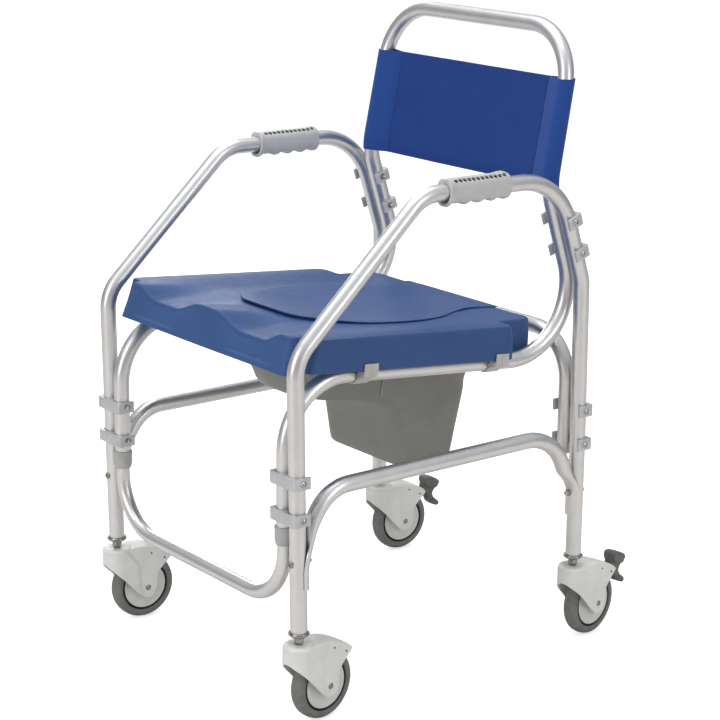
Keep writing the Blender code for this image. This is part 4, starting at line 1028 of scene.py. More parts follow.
# pedal outlines: (y, z)
PEDAL_WEB = [
    (0.0742, 0.1016), (0.0765, 0.1004), (0.0860, 0.0990), (0.0980, 0.0972), (0.1030, 0.0905),
    (0.1045, 0.0840), (0.1085, 0.0760), (0.1150, 0.0712), (0.1235, 0.0678), (0.1280, 0.0684),
    (0.1288, 0.0726), (0.1225, 0.0790), (0.1172, 0.0850), (0.1152, 0.0900), (0.1166, 0.0950),
    (0.1215, 0.1010), (0.1262, 0.1070), (0.1278, 0.1112), (0.1258, 0.1152), (0.1190, 0.1192),
    (0.1110, 0.1226), (0.1030, 0.1243), (0.0985, 0.1232), (0.0968, 0.1180), (0.0962, 0.1100),
    (0.0955, 0.1052), (0.0930, 0.1040), (0.0765, 0.1046), (0.0742, 0.1036)]
PEDAL_UPPER = [
    (0.1000, 0.1075), (0.1200, 0.1010), (0.1240, 0.1040), (0.1290, 0.1108), (0.1268, 0.1160),
    (0.1190, 0.1202), (0.1110, 0.1235), (0.1030, 0.1252), (0.0978, 0.1236), (0.0965, 0.1170)]
PEDAL_LOWER = [
    (0.1120, 0.0800), (0.1072, 0.0768), (0.1145, 0.0705), (0.1235, 0.0668), (0.1290, 0.0676),
    (0.1296, 0.0732), (0.1228, 0.0796)]
WEB_HALF, UPPER_HALF, LOWER_HALF = 0.0078, 0.0118, 0.0100
PEDAL_RIB = mirrored([(0.0, 0.0098), (0.0008, 0.0094), (0.0009, 0.0)])


def pedal(key, place):
    """Waisted web with an upper and a lower pad, and ribs across the upper one."""
    body = "pedal_" + key
    for stem, outline, half, bevel, replaces in (
            ("pedal_web_", PEDAL_WEB, WEB_HALF, 0.0014, "brake_pedal_" + key),
            ("pedal_pad0_", PEDAL_UPPER, UPPER_HALF, 0.0022, None),
            ("pedal_pad1_", PEDAL_LOWER, LOWER_HALF, 0.0022, None)):
        piece = extrude_outline(stem + key, [outline], half, place @ OUTLINE_YZ, bevel,
                                segments=3)
        put(piece, PEDAL_NYLON, replaces, body)
    for i in range(4):
        t = i / 3
        z = lerp(0.1243, 0.1180, t) + 0.0009 * math.sin(math.pi * t)
        turned("pedal_rib%d_%s" % (i, key), PEDAL_RIB,
               place @ move(0, lerp(0.1045, 0.1225, t), z) @ turn_y(math.pi / 2), PEDAL_NYLON,
               body=body, steps=10)


def caster_stem(key, leg):
    """Collar, hexagon and swivel pin under the leg: part of the frame."""
    collar = [(radius, FOOT_Z + z) for radius, z in COLLAR]
    turned("collar_" + key, round_profile(collar, 0.0004), leg, STEEL,
           "caster_stem_" + key, steps=48)
    bm = bmesh.new()
    loft(bm, [circle_ring(bm, radius, FOOT_Z + z, 6, phase=0.35) for radius, z in STEM_NUT])
    bmesh.ops.transform(bm, matrix=leg, verts=bm.verts)
    put(mesh_object("stem_nut_" + key, bm), STEEL, smooth=25)
    pin_top = FOOT_Z - 0.012
    turned("stem_pin_" + key, [(0.0, pin_top), (0.0048, pin_top), (0.0048, STEM_PIN_LOW_Z),
                               (0.0, STEM_PIN_LOW_Z)], leg, STEEL, steps=24)


def caster(key):
    x = FRAME_X if key.endswith("right") else -FRAME_X
    y = AXLE_Y if key.startswith("rear") else -AXLE_Y
    leg = move(x, y, 0)
    place = leg @ turn_z(-math.radians(SWIVEL_DEG[key]))
    axle = place @ move(0, TRAIL, WHEEL_R) @ turn_y(math.pi / 2)
    fork, wheel = "fork_" + key, "wheel_" + key
    caster_stem(key, leg)

    put(placed_copy("hood_" + key, HOOD_MESH, place), CASTER_NYLON,
        "caster_fork_" + key, fork, smooth=38)
    turned("cap_" + key, round_profile(CAP, 0.0004), place, CASTER_NYLON,
           body=fork, steps=64)
    turned("boss_" + key, round_profile(BOSS, 0.0008, 3), place, CASTER_NYLON,
           body=fork, steps=48)
    turned("axle_bolt_" + key, AXLE, axle, STEEL, "axle_" + key, fork, steps=32)
    for i, (rivet_y, rivet_z) in enumerate(RIVETS):
        turned("rivet_%d_%s" % (i, key), RIVET,
               place @ move(0, rivet_y, rivet_z) @ turn_y(math.pi / 2), DARK,
               body=fork, steps=16)

    turned("hub_disc_" + key, round_profile(HUB + HUB[:1], 0.0006)[:-1], axle, HUB_NYLON,
           "wheel_hub_" + key, wheel, steps=72, closed=True)
    turned("bead_" + key, BEAD, axle, BEAD_RUBBER, body=wheel, steps=72,
           closed=True)
    turned("tread_" + key, TREAD, axle, TYRE_RUBBER, "tyre_" + key, wheel,
           steps=96, closed=True, smooth=50)
    if key.startswith("rear"):
        pedal(key, place)


for key in ("front_left", "front_right", "rear_left", "rear_right"):
    caster(key)

# ---------------------------------------------------------------- seat and lid
SEAT_HALF_WIDTH = 0.2490
SEAT_REAR_Y = 0.2212
# heights as (z at y = 0, slope along y)
SEAT_BOTTOM, SEAT_RIDGE = (0.5053, -0.0994), (0.5565, -0.0900)
REBATE_DEPTH = 0.0215
SEAT_DISH = 0.0075
SEAT_EDGE_R = 0.0050
LID_HALF_WIDTH, LID_FRONT, LID_REAR = 0.1457, 0.1600, 0.1660
LID_ROUND = 0.688                           # exponent that squares the round of the lid
LID_WAIST, LID_FLARE = 0.0991, 0.0120
LID_GAP = 0.0004
OVERHANG = 0.0070                           # reach of the lid's thin edge over the rebate
CENTRE = Vector((0.0, -0.030))              # rays for both outlines start here
HOLE_HALF_WIDTH, HOLE_HALF_LENGTH, HOLE_Y = 0.112, 0.122, -0.005
POCKET_HALF_WIDTH = 0.148                   # hollow under the seat


def seat_bottom_z(y):
    return SEAT_BOTTOM[0] + SEAT_BOTTOM[1] * y


def seat_lip_z(y):
    """Lower edge of the skirt, which drops at the front."""
    return seat_bottom_z(y) - 0.0075 * smooth_step(-0.256, -0.268, y)


def lid_floor_z(y):
    return SEAT_RIDGE[0] + SEAT_RIDGE[1] * y - REBATE_DEPTH


def seat_top_z(x, y):
    """Side ridges, dished middle, thigh channels and a centre rise at the front."""
    across = abs(x)
    fade = 1 - 0.75 * smooth_step(0.120, 0.215, y)
    body = -SEAT_DISH * smooth_step(0.230, 0.1435, across) * fade
    front = 1 - smooth_step(-0.270, -0.130, y)
    rise = 1 - smooth_step(0.020, 0.092, across)
    lip = 0.0023 * rise - 0.0175 * smooth_step(0.192, 0.140, across) * (1 - rise)
    return SEAT_RIDGE[0] + SEAT_RIDGE[1] * y + lerp(body, lip, front)


def closed_loop(half):
    """Full counter-clockwise loop from a +X half, front centre to rear centre."""
    loop = half + [(0.0, half[-1][1])] + [(-x, y) for x, y in reversed(half[1:])]
    return [Vector(p) for p in loop]


def seat_loop(lean):
    """Seat outline; lean is 0 at the lower edge, 1 at the top edge."""
    front_y = lerp(-0.2808, -0.2625, lean)
    front_x = lerp(0.2215, 0.2150, lean)
    step_y = lerp(-0.2562, -0.2425, lean)
    half_width = lerp(SEAT_HALF_WIDTH, SEAT_HALF_WIDTH - 0.0022, lean)
    half = [(front_x * k / 14, front_y - 0.0012 * math.cos(math.pi * k / 14) * (1 - lean))
            for k in range(13)]
    half += arc(front_x - 0.013, front_y + 0.013, 0.013, -90, 0, 7)
    # notch behind the front corner, then the side
    half += [(front_x + 0.0012, step_y - 0.0050), (front_x + 0.0040, step_y - 0.0008),
             (0.2300, step_y), (0.2350, step_y + 0.0002)]
    half += arc(half_width - 0.009, step_y + 0.0095, 0.009, -86, 0, 6)
    half += [(half_width, lerp(step_y + 0.014, 0.1180, k / 22)) for k in range(1, 22)]
    half += arc(half_width - 0.014, 0.1240, 0.014, 0, 86, 7)
    # step in to the narrower rear part
    half += [(0.2240, 0.1392), (0.2160, 0.1400)]
    half += arc(0.2120, 0.1480, 0.0080, 265, 184, 5)
    half += [(0.2032, lerp(0.156, 0.190, k / 4)) for k in range(1, 5)]
    half += arc(0.1730, 0.1910, 0.030, 4, 88, 9)
    half += [(0.1650 * (1 - k / 12), SEAT_REAR_Y) for k in range(12)]
    return closed_loop(half)


def lid_loop(grow):
    """Lid outline, widened by grow: a round front, a waist and a flared tail."""
    half = []
    for k in range(48):
        angle = math.radians(-90 + 150 * k / 47)
        reach = LID_FRONT if angle < 0 else LID_REAR
        half.append(((LID_HALF_WIDTH + grow) * math.cos(angle) ** LID_ROUND if k else 0.0,
                     (reach + grow) * math.sin(angle)))
    half = [p for p in half if p[1] < 0.118]
    # cubic curve from the round into the waist
    x0, y0 = half[-1]
    waist = LID_WAIST + grow
    for k in range(1, 13):
        t = k / 12
        weights = ((1 - t) ** 3, 3 * t * (1 - t) ** 2, 3 * t * t * (1 - t), t ** 3)
        half.append(tuple(sum(w * v for w, v in zip(weights, values)) for values in
                          ((x0, x0 - 0.012, waist, waist), (y0, y0 + 0.014, 0.150, 0.172))))
    rear_y = SEAT_REAR_Y + grow
    half += [(waist + LID_FLARE * smooth_step(0, 1, k / 8), lerp(0.172, rear_y, k / 8))
             for k in range(1, 9)]
    half += [((waist + LID_FLARE) * (1 - k / 10), rear_y) for k in range(1, 10)]
    return closed_loop(half)


def ray_angles(loop, count):
    """Angles about CENTRE of points spaced evenly round a loop."""
    reached = [0.0]
    for start, end in zip(loop, loop[1:] + loop[:1]):
        reached.append(reached[-1] + (end - start).length)
    angles = []
    j = 0
    for k in range(count):
        distance = reached[-1] * k / count
        while reached[j + 1] < distance:
            j += 1
        t = (distance - reached[j]) / (reached[j + 1] - reached[j])
        ray = loop[j].lerp(loop[(j + 1) % len(loop)], t) - CENTRE
        angles.append(math.atan2(ray.y, ray.x))
    return angles


def ray_hit(loop, angle):
    """Farthest crossing of the ray from CENTRE with a closed loop."""
    ray = Vector((math.cos(angle), math.sin(angle)))
    best = None
    for start, end in zip(loop, loop[1:] + loop[:1]):
        edge = end - start
        cross = ray.x * edge.y - ray.y * edge.x
        if abs(cross) < 1e-12:
            continue
        to_start = start - CENTRE
        distance = (to_start.x * edge.y - to_start.y * edge.x) / cross
        along = (to_start.x * ray.y - to_start.y * ray.x) / cross
        if distance > 0 and -1e-6 <= along <= 1 + 1e-6 and (best is None or distance > best):
            best = distance
    return CENTRE + ray * best


def ray_hits(loop, angles):
    return [ray_hit(loop, angle) for angle in angles]


def inward(points, distance):
    return [p + (CENTRE - p).normalized() * distance for p in points]


def between(first, second, t):
    return [a.lerp(b, t) for a, b in zip(first, second)]


def lifted(points, heights):
    return [(p.x, p.y, z) for p, z in zip(points, heights)]


def floor_row(points, lift):
    return lifted(points, [lid_floor_z(p.y) + lift for p in points])


def knee_clearance(bm):
    """Pushes the seat's front corners clear of the bent side frames."""
    end_y, arm_slope = -0.1200, 0.932
    need = TUBE_R + 0.0012
    paths = {sign: fillet_path(
        [(sign * FRAME_X, leg_y(0.45, "front"), 0.45), (sign * FRAME_X, *KNEE_FRONT),
         (sign * FRAME_X, end_y, KNEE_FRONT[1] + (end_y - KNEE_FRONT[0]) * arm_slope)],
        [SIDE_RADII[0]], 3) for sign in (-1, 1)}
    for vert in bm.verts:
        if vert.co.y > -0.19 or abs(vert.co.x) < 0.20:
            continue
        sign = 1 if vert.co.x > 0 else -1
        best, near = 9.0, None
        for start, end in zip(paths[sign][:-1], paths[sign][1:]):
            run = end - start
            t = min(1.0, max(0.0, (vert.co - start).dot(run) / run.length_squared))
            point = start + run * t
            if (vert.co - point).length < best:
                best, near = (vert.co - point).length, point
        if best < need:
            away = vert.co - near
            if away.length < 1e-6:
                away = Vector((-sign * 0.6, 0.25, -0.75))
            else:
                away = away.normalized()
            if away.x * sign > 0:
                away = Vector((-away.x * 0.2, away.y, away.z)).normalized()
            vert.co = near + away * need


def seat_body():
    """One closed skin: skirt, rounded edge, top, rebate, hole, hollow underside."""
    low_loop = seat_loop(0.0)
    # extra rays on both sides of each corner where the lid's tail meets the rear edge
    tail = math.atan2(SEAT_REAR_Y - CENTRE.y, LID_WAIST + LID_FLARE - OVERHANG + 0.0010)
    angles = sorted(set(ray_angles(low_loop, 480)
                        + [tail - 0.0006, tail + 0.0006,
                           math.pi - tail - 0.0006, math.pi - tail + 0.0006]))
    rebate_loop = [Vector((p.x, p.y + 0.02 * smooth_step(0.19, 0.2142, p.y)))
                   for p in lid_loop(-OVERHANG)]
    turns = [k / 40 * 2 * math.pi for k in range(40)]
    hole_loop = [Vector((HOLE_HALF_WIDTH * math.cos(a), HOLE_Y + HOLE_HALF_LENGTH * math.sin(a)))
                 for a in turns]
    width = POCKET_HALF_WIDTH
    pocket_loop = closed_loop(
        [(width * k / 6, -0.240) for k in range(6)] + arc(width - 0.02, -0.220, 0.020, -90, 0, 4)
        + [(width, -0.1), (width, 0.0), (width, 0.1)] + arc(width - 0.02, 0.178, 0.020, 0, 90, 4)
        + [(width * (1 - k / 6), 0.198) for k in range(2, 6)])
    lows, tops = ray_hits(low_loop, angles), ray_hits(seat_loop(1.0), angles)
    hole, pocket = ray_hits(hole_loop, angles), ray_hits(pocket_loop, angles)
    shoulder = inward(tops, SEAT_EDGE_R)
    rebate = [a if (b - CENTRE).length > (a - CENTRE).length else b
              for a, b in zip(shoulder, ray_hits(rebate_loop, angles))]
    skirt = inward(lows, 0.0040)            # inner face of the skirt

    def top_z(points, lift=0.0):
        return [(lid_floor_z(p.y) + 0.0006 if tail < a < math.pi - tail
                 else seat_top_z(p.x, p.y)) + lift for a, p in zip(angles, points)]

    def under_z(points, lift=0.0):
        return [rail_z(p.y) + TUBE_R + 0.0010 + lift for p in points]

    foot_z = [seat_lip_z(p.y) + 0.0012 for p in lows]
    edge_z = top_z(tops, -SEAT_EDGE_R)
    rows = [lifted(lows, foot_z)]
    for t in (0.06, 0.2, 0.4, 0.6, 0.8, 0.92):
        bulge = 0.0010 * math.sin(math.pi * t)
        points = [p + (p - CENTRE).normalized() * bulge for p in between(lows, tops, t)]
        rows.append(lifted(points, [lerp(a, b, t) for a, b in zip(foot_z, edge_z)]))
    for k in range(8):
        angle = math.radians(90 * k / 7)
        points = inward(tops, SEAT_EDGE_R * (1 - math.cos(angle)))
        rows.append(lifted(points, top_z(points, SEAT_EDGE_R * math.sin(angle) - SEAT_EDGE_R)))
    for k in range(1, 26):
        points = between(shoulder, rebate, k / 26)
        rows.append(lifted(points, top_z(points)))
    # down into the rebate and across its floor
    rows.append(lifted(rebate, top_z(rebate, -0.0002)))
    rows.append(lifted(inward(rebate, 0.0004), top_z(rebate, -0.0009)))
    rows.append(lifted(inward(rebate, 0.0005), [
        max(lid_floor_z(p.y) + 0.0004, min(z, lid_floor_z(p.y) + 0.0030))
        for p, z in zip(rebate, top_z(rebate, -0.0012))]))
    floor_edge = inward(rebate, 0.0014)
    rows.append(lifted(floor_edge, [lid_floor_z(p.y) for p in rebate]))
    for t in (0.33, 0.66, 0.95):
        rows.append(floor_row(between(floor_edge, hole, t), 0.0))
    # through the hole and out underneath
    rows.append(floor_row(hole, -0.0010))
    rows.append(floor_row(hole, -0.0045))
    rows.append(lifted(between(hole, pocket, 0.05), [lid_floor_z(p.y) - 0.0055 for p in hole]))
    rows.append(lifted(between(hole, pocket, 0.96), [lid_floor_z(p.y) - 0.0055 for p in pocket]))
    rows.append(floor_row(pocket, -0.0075))
    rows.append(lifted(pocket, [min(lid_floor_z(p.y) - 0.0080, z)
                                for p, z in zip(pocket, under_z(pocket, 0.0010))]))
    rows.append(lifted(between(pocket, skirt, 0.02), under_z(pocket)))
    rows.append(lifted(between(skirt, pocket, 0.05), under_z(skirt)))
    rows.append(lifted(skirt, under_z(skirt, -0.0010)))
    rows.append(lifted(skirt, [seat_bottom_z(p.y) + 0.0004 for p in skirt]))
    rows.append(lifted(between(lows, skirt, 0.6), [seat_lip_z(p.y) for p in lows]))
    bm = bmesh.new()
    rings = [add_ring(bm, row) for row in rows]
    for first, second in zip(rings, rings[1:] + rings[:1]):
        bridge(bm, first, second)
    bmesh.ops.remove_doubles(bm, verts=bm.verts, dist=0.00002)
    knee_clearance(bm)
    put(mesh_object("seat_moulding", bm), SEAT_BLUE, "seat", smooth=42)


def lid_top_z(p):
    """The lid stands proud of the seat, most at its front, and dips as a shallow bowl."""
    front = 1 - smooth_step(-0.150, -0.050, p.y)
    lift = 0.0030 + 0.0031 * front - 0.0010 * smooth_step(0.150, 0.215, p.y)
    bowl_length = 0.168 if p.y < 0.020 else 0.190
    bowl = max(0.0, 1 - (p.x / LID_HALF_WIDTH) ** 2 - ((p.y - 0.020) / bowl_length) ** 2)
    return seat_top_z(p.x, p.y) + lift - 0.0100 * bowl ** 1.2


def seat_lid():
    rim = 0.0016
    loop = lid_loop(-LID_GAP)
    angles = sorted(ray_angles(loop, 320))
    edge = ray_hits(loop, angles)
    # the skirt stays inside the rebate, but comes out to the rear edge across the tail
    skirt_loop = [Vector((p.x, p.y + 0.0072 * smooth_step(0.200, 0.2120, p.y)))
                  for p in lid_loop(-OVERHANG - 0.0016)]
    skirt = ray_hits(skirt_loop, angles)
    directions = [(CENTRE - p).normalized() for p in edge]
    centres = [CENTRE] * len(angles)

    def moved_in(points, distance):
        return [p + d * distance for p, d in zip(points, directions)]

    def top_z(points, lift=0.0):
        return [lid_top_z(p) + lift for p in points]

    rows = []
    for k in range(1, 27):
        points = between(centres, moved_in(edge, 0.0010), (k / 26) ** 0.85)
        rows.append(lifted(points, top_z(points)))
    for k in range(1, 6):
        angle = math.radians(90 * k / 5)
        rows.append(lifted(moved_in(edge, 0.0010 * (1 - math.sin(angle))),
                           top_z(edge, 0.0008 * (math.cos(angle) - 1))))
    rows.append(lifted(moved_in(edge, 0.0002), top_z(edge, -rim)))
    rows.append(lifted(moved_in(edge, 0.0008), top_z(edge, -rim - 0.0002)))
    # underside of the edge, skirt, floor
    for t in (0.5, 0.95):
        points = between(moved_in(edge, 0.0008), skirt, t)
        rows.append(lifted(points, top_z(points, -rim - 0.0002)))
    rows.append(lifted(skirt, top_z(skirt, -rim - 0.0012)))
    rows.append(lifted(skirt, [min(z, lid_floor_z(p.y) + 0.0012)
                               for p, z in zip(skirt, top_z(skirt, -rim - 0.0016))]))
    for k in range(1, 12):
        rows.append(floor_row(between(centres, moved_in(skirt, 0.0008), 1 - k / 12), 0.0008))
    bm = bmesh.new()
    rings = [add_ring(bm, row) for row in rows]
    for first, second in zip(rings[:-1], rings[1:]):
        bridge(bm, first, second)
    top = bm.verts.new((CENTRE.x, CENTRE.y, lid_top_z(CENTRE)))
    bottom = bm.verts.new((CENTRE.x, CENTRE.y, lid_floor_z(CENTRE.y) + 0.0008))
    for i in range(len(angles)):
        j = (i + 1) % len(angles)
        bm.faces.new((top, rings[0][i], rings[0][j]))
        bm.faces.new((bottom, rings[-1][j], rings[-1][i]))
    put(mesh_object("lid_plate", bm), LID_BLUE, "seat_lid", "lid", smooth=45)


seat_body()
seat_lid()

# ---------------------------------------------------------------- pan and its runners
PAN_WALL = 0.0024
PAN_REAR_POWER = 9.5                        # squareness of the rear end of each section
# rim, tilted with the rail: half width, front y, rear y, height over the rim plane
PAN_RIM = [
    (0.1470, -0.1570, 0.1710, 0.0002), (0.1520, -0.1620, 0.1750, 0.0004),
    (0.1555, -0.1655, 0.1775, 0.0), (0.1560, -0.1660, 0.1780, -0.0012),
    (0.1560, -0.1660, 0.1780, -0.0030), (0.1525, -0.1625, 0.1748, -0.0034),
    (0.1500, -0.1598, 0.1726, -0.0040), (0.1488, -0.1582, 0.1716, -0.0070)]
# shell, level: half width, front y, rear y, z, squareness of the front end
PAN_SHELL = [
    (0.1370, -0.1485, 0.1680, 0.4650, 2.6), (0.1265, -0.1410, 0.1648, 0.4445, 2.6),
    (0.1240, -0.1388, 0.1638, 0.4375, 2.6), (0.1225, -0.1355, 0.1630, 0.4325, 2.6),
    (0.1213, -0.1300, 0.1626, 0.4296, 2.65), (0.1205, -0.1120, 0.1622, 0.4272, 2.9),
    (0.1195, -0.0750, 0.1617, 0.4235, 3.4), (0.1182, -0.0380, 0.1611, 0.4180, 4.0),
    (0.1168, -0.0080, 0.1603, 0.4110, 4.8), (0.1150, 0.0095, 0.1592, 0.4020, 5.6),
    (0.1130, 0.0200, 0.1579, 0.3920, 6.4), (0.1107, 0.0270, 0.1566, 0.3800, 7.2),
    (0.1080, 0.0310, 0.1552, 0.3660, 8.0), (0.1035, 0.0335, 0.1532, 0.3430, 9.0),
    (0.0985, 0.0352, 0.1516, 0.3170, 9.5), (0.0964, 0.0360, 0.1508, 0.3060, 9.5),
    (0.0950, 0.0370, 0.1498, 0.3000, 9.5), (0.0925, 0.0392, 0.1478, 0.2966, 9.0),
    (0.0885, 0.0430, 0.1442, 0.2952, 8.0), (0.0800, 0.0510, 0.1370, 0.2950, 7.0),
    (0.0400, 0.0760, 0.1130, 0.2950, 5.0), (0.0060, 0.0920, 0.0970, 0.2950, 3.0)]


def pan_ring(half_width, front, rear, z, front_power=2.6, slope=0.0, count=140):
    """Superellipse, its front end rounder than its rear end."""
    points = []
    for k in range(count):
        angle = 2 * math.pi * k / count - math.pi / 2
        cosine, sine = math.cos(angle), math.sin(angle)
        exponent = 2.0 / lerp(front_power, PAN_REAR_POWER, smooth_step(-0.15, 0.15, sine))
        x = half_width * math.copysign(abs(cosine) ** exponent, cosine)
        y = (front + rear) / 2 + (rear - front) / 2 * math.copysign(abs(sine) ** exponent, sine)
        points.append((x, y, z + slope * y))
    return points


def pan():
    rim_z = rail_z(0) + 0.0010
    wall = PAN_WALL
    outer = [pan_ring(half, front, rear, rim_z + lift, slope=RAIL_SLOPE)
             for half, front, rear, lift in PAN_RIM]
    outer += [pan_ring(*row) for row in PAN_SHELL]
    inner = [pan_ring(half - wall, front + wall, rear - wall, rim_z + lift + wall * 0.3,
                      slope=RAIL_SLOPE) for half, front, rear, lift in PAN_RIM[6:]]
    for half, front, rear, z, power in PAN_SHELL:
        # full thickness where the shell lies nearly flat, less where it stands
        rise = 1.0 if z < 0.2990 or 0.4060 < z < 0.4330 else 0.35
        inner.append(pan_ring(max(half - wall, 0.004), front + wall if front < 0.09 else front,
                              rear - wall if rear > 0.10 else rear, z + wall * rise, power))
    bm = bmesh.new()
    outside = [add_ring(bm, ring) for ring in outer]
    inside = [add_ring(bm, ring) for ring in inner]
    for first, second in zip(outside[:-1], outside[1:]):
        bridge(bm, first, second)
    for first, second in zip(inside[:-1], inside[1:]):
        bridge(bm, second, first)
    bridge(bm, inside[0], outside[0])
    bm.faces.new(outside[-1])
    bm.faces.new(inside[-1][::-1])
    put(mesh_object("pan_shell", bm), PAN_GREY, "commode_pan", "pan", smooth=35)


pan()

RUNNER_X, RUNNER_Y, RUNNER_HALF_LENGTH, RUNNER_WALL = 0.1595, 0.015, 0.165, 0.0020
RUNNER_TOP, RUNNER_LOW = TUBE_R + 0.0006, -0.0050    # from the rail's axis


def runner(side, sign):
    """Thin rail with a flange to both sides at the top and an inward foot at the bottom."""
    web, top, low = RUNNER_WALL / 2, RUNNER_TOP, RUNNER_LOW
    section = [(-0.0075, top), (0.0045, top), (0.0045, top - RUNNER_WALL),
               (web, top - RUNNER_WALL), (web, low), (-0.0085, low),
               (-0.0085, low + RUNNER_WALL), (-web, low + RUNNER_WALL),
               (-web, top - RUNNER_WALL), (-0.0075, top - RUNNER_WALL)]
    place = move(sign * RUNNER_X, RUNNER_Y, rail_z(RUNNER_Y)) @ turn_x(RAIL_ANGLE) @ OUTLINE_XZ
    obj = extrude_outline("runner_" + side, [[(x * sign, z) for x, z in section]],
                          RUNNER_HALF_LENGTH, place, bevel=0.0005)
    put(obj, CLIP_NYLON, "pan_runner_" + side, smooth=35)


for side, sign in SIDES:
    runner(side, sign)

# ---------------------------------------------------------------- seat clips
CLIP_WIDTH, CLIP_WALL = 0.0250, 0.0021
CLIP_INNER_X = SEAT_HALF_WIDTH + 0.0012


def seat_clip(name, sign, y):
    """Plate beside the seat's skirt that hooks under the rail, with a groove down it."""
    inner_x = CLIP_INNER_X - RAIL_X
    outer_x = inner_x + CLIP_WALL
    inner_r = TUBE_R + 0.0004
    top = seat_bottom_z(y) + 0.0112 - rail_z(y)
    low = seat_bottom_z(y) - 0.0006 - rail_z(y)
    points = [(inner_x + CLIP_WALL * 0.4, top), (outer_x, top - 0.0010), (outer_x, low - 0.007)]
    points += arc(0, 0, inner_r + CLIP_WALL, -30, -116, 14)
    points += arc(0, 0, inner_r, -118, -6, 16)
    points += [(inner_r + 0.001, low), (inner_x, low), (inner_x, top)]
    place = move(sign * RAIL_X, y, rail_z(y)) @ turn_x(RAIL_ANGLE) @ OUTLINE_XZ
    obj = extrude_outline(name + "_clip", [[(x * sign, z) for x, z in points]],
                          CLIP_WIDTH / 2, place, bevel=0.0005)
    groove = bmesh.new()
    bmesh.ops.create_cube(groove, size=1.0)
    place = (move(sign * (CLIP_INNER_X + CLIP_WALL), y, rail_z(y) + (top + low) / 2)
             @ turn_x(RAIL_ANGLE) @ Matrix.Diagonal((0.0012, 0.0009, 0.05, 1)))
    bmesh.ops.transform(groove, matrix=place, verts=groove.verts)
    cut(obj, mesh_object("groove", groove))
    put(obj, CLIP_NYLON, name, smooth=35)


for side, sign in SIDES:
    seat_clip("seat_clip_front_" + side, sign, -0.1465)
    seat_clip("seat_clip_rear_" + side, sign, 0.1080)

# ---------------------------------------------------------------- backrest sling
SLING_LOW, SLING_HIGH = 0.7450, 0.9105
SEAM_X = 0.1800
CLOTH_R = TUBE_R + 0.0011                   # where the cloth leaves the post
CLOTH_HALF = 0.0007
PANEL_STEPS, WRAP_STEPS, SLING_ROWS = 56, 26, 46
FLAT_STEPS = (0.02, 0.05, 0.15, 0.3, 0.5, 0.7, 0.85)
STITCH, STITCH_PITCH, STITCH_R = 0.0026, 0.0038, 0.00034
POST_PATH = fillet_path(RAIL_POINTS[5:], RAIL_RADII[5:], 1.5)


def post_centre(z):
    """Axis of the right post at a height, as (x, y)."""
    for upper, lower in zip(POST_PATH[:-1], POST_PATH[1:]):
        if lower.z <= z <= upper.z:
            point = upper.lerp(lower, (z - upper.z) / (lower.z - upper.z))
            return point.x, point.y


def sling_height(z):
    """0 at the sling's lower edge, 1 at its upper edge."""
    return (z - SLING_LOW) / (SLING_HIGH - SLING_LOW)


def sling_sag(x, v):
    belly = max(0.0, 1 - (x / SEAM_X) ** 2)
    return -0.0020 * belly * (1 - v) - 0.0014 * belly * v


def sling_section(z):
    """Loop seen from above: front face left to right, right pocket, back face, left pocket."""
    post_x, post_y = post_centre(z)
    v = sling_height(z)

    def panel_y(x):
        # hangs between the seams with a slight backward belly and faint creases
        belly = 1 - (x / SEAM_X) ** 2
        crease = (0.0004 * math.sin(26 * x + 3 * v) * belly * belly
                  + 0.0010 * math.sin(9 * v + 11 * x) * belly * (1 - belly))
        return post_y + 0.0015 + 0.0085 * belly * (0.85 + 0.6 * v * (1 - v)) + crease

    seam = Vector((SEAM_X, panel_y(SEAM_X)))
    # tangents from the seam to the post, front and back
    to_post = Vector((post_x - seam.x, post_y - seam.y))
    distance = to_post.length
    base = math.atan2(to_post.y, to_post.x)
    spread = math.asin(min(0.99, CLOTH_R / distance))
    reach = math.sqrt(max(1e-9, distance * distance - CLOTH_R * CLOTH_R))
    flats, ends = [], []
    for face in (-1, 1):
        angle = base + face * spread
        tangent = seam + Vector((math.cos(angle), math.sin(angle))) * reach
        ends.append(math.atan2(tangent.y - post_y, tangent.x - post_x))
        start = seam + Vector((0, face * CLOTH_HALF))
        points = [start.lerp(tangent, t) for t in FLAT_STEPS]
        flats.append([p + Vector((0, face * 0.0009
                                  * smooth_step(0.0, 0.12, (p.x - SEAM_X) / 0.04)))
                      for p in points])
    front, back = [], []
    for k in range(PANEL_STEPS + 1):
        x = lerp(-SEAM_X, SEAM_X, k / PANEL_STEPS)
        half = CLOTH_HALF + 0.0003 * smooth_step(SEAM_X - 0.006, SEAM_X, abs(x))
        front.append(Vector((x, panel_y(x) - half)))
        back.append(Vector((x, panel_y(x) + half)))
    wrap = []
    for k in range(WRAP_STEPS + 1):
        angle = lerp(ends[0], ends[1], k / WRAP_STEPS)
        wrap.append(Vector((post_x + (CLOTH_R + 0.0004) * math.cos(angle),
                            post_y + (CLOTH_R + 0.0004) * math.sin(angle))))
    right = flats[0] + wrap + flats[1][::-1]
    left = [Vector((-p.x, p.y)) for p in reversed(right)]
    return front, right, back[::-1], left


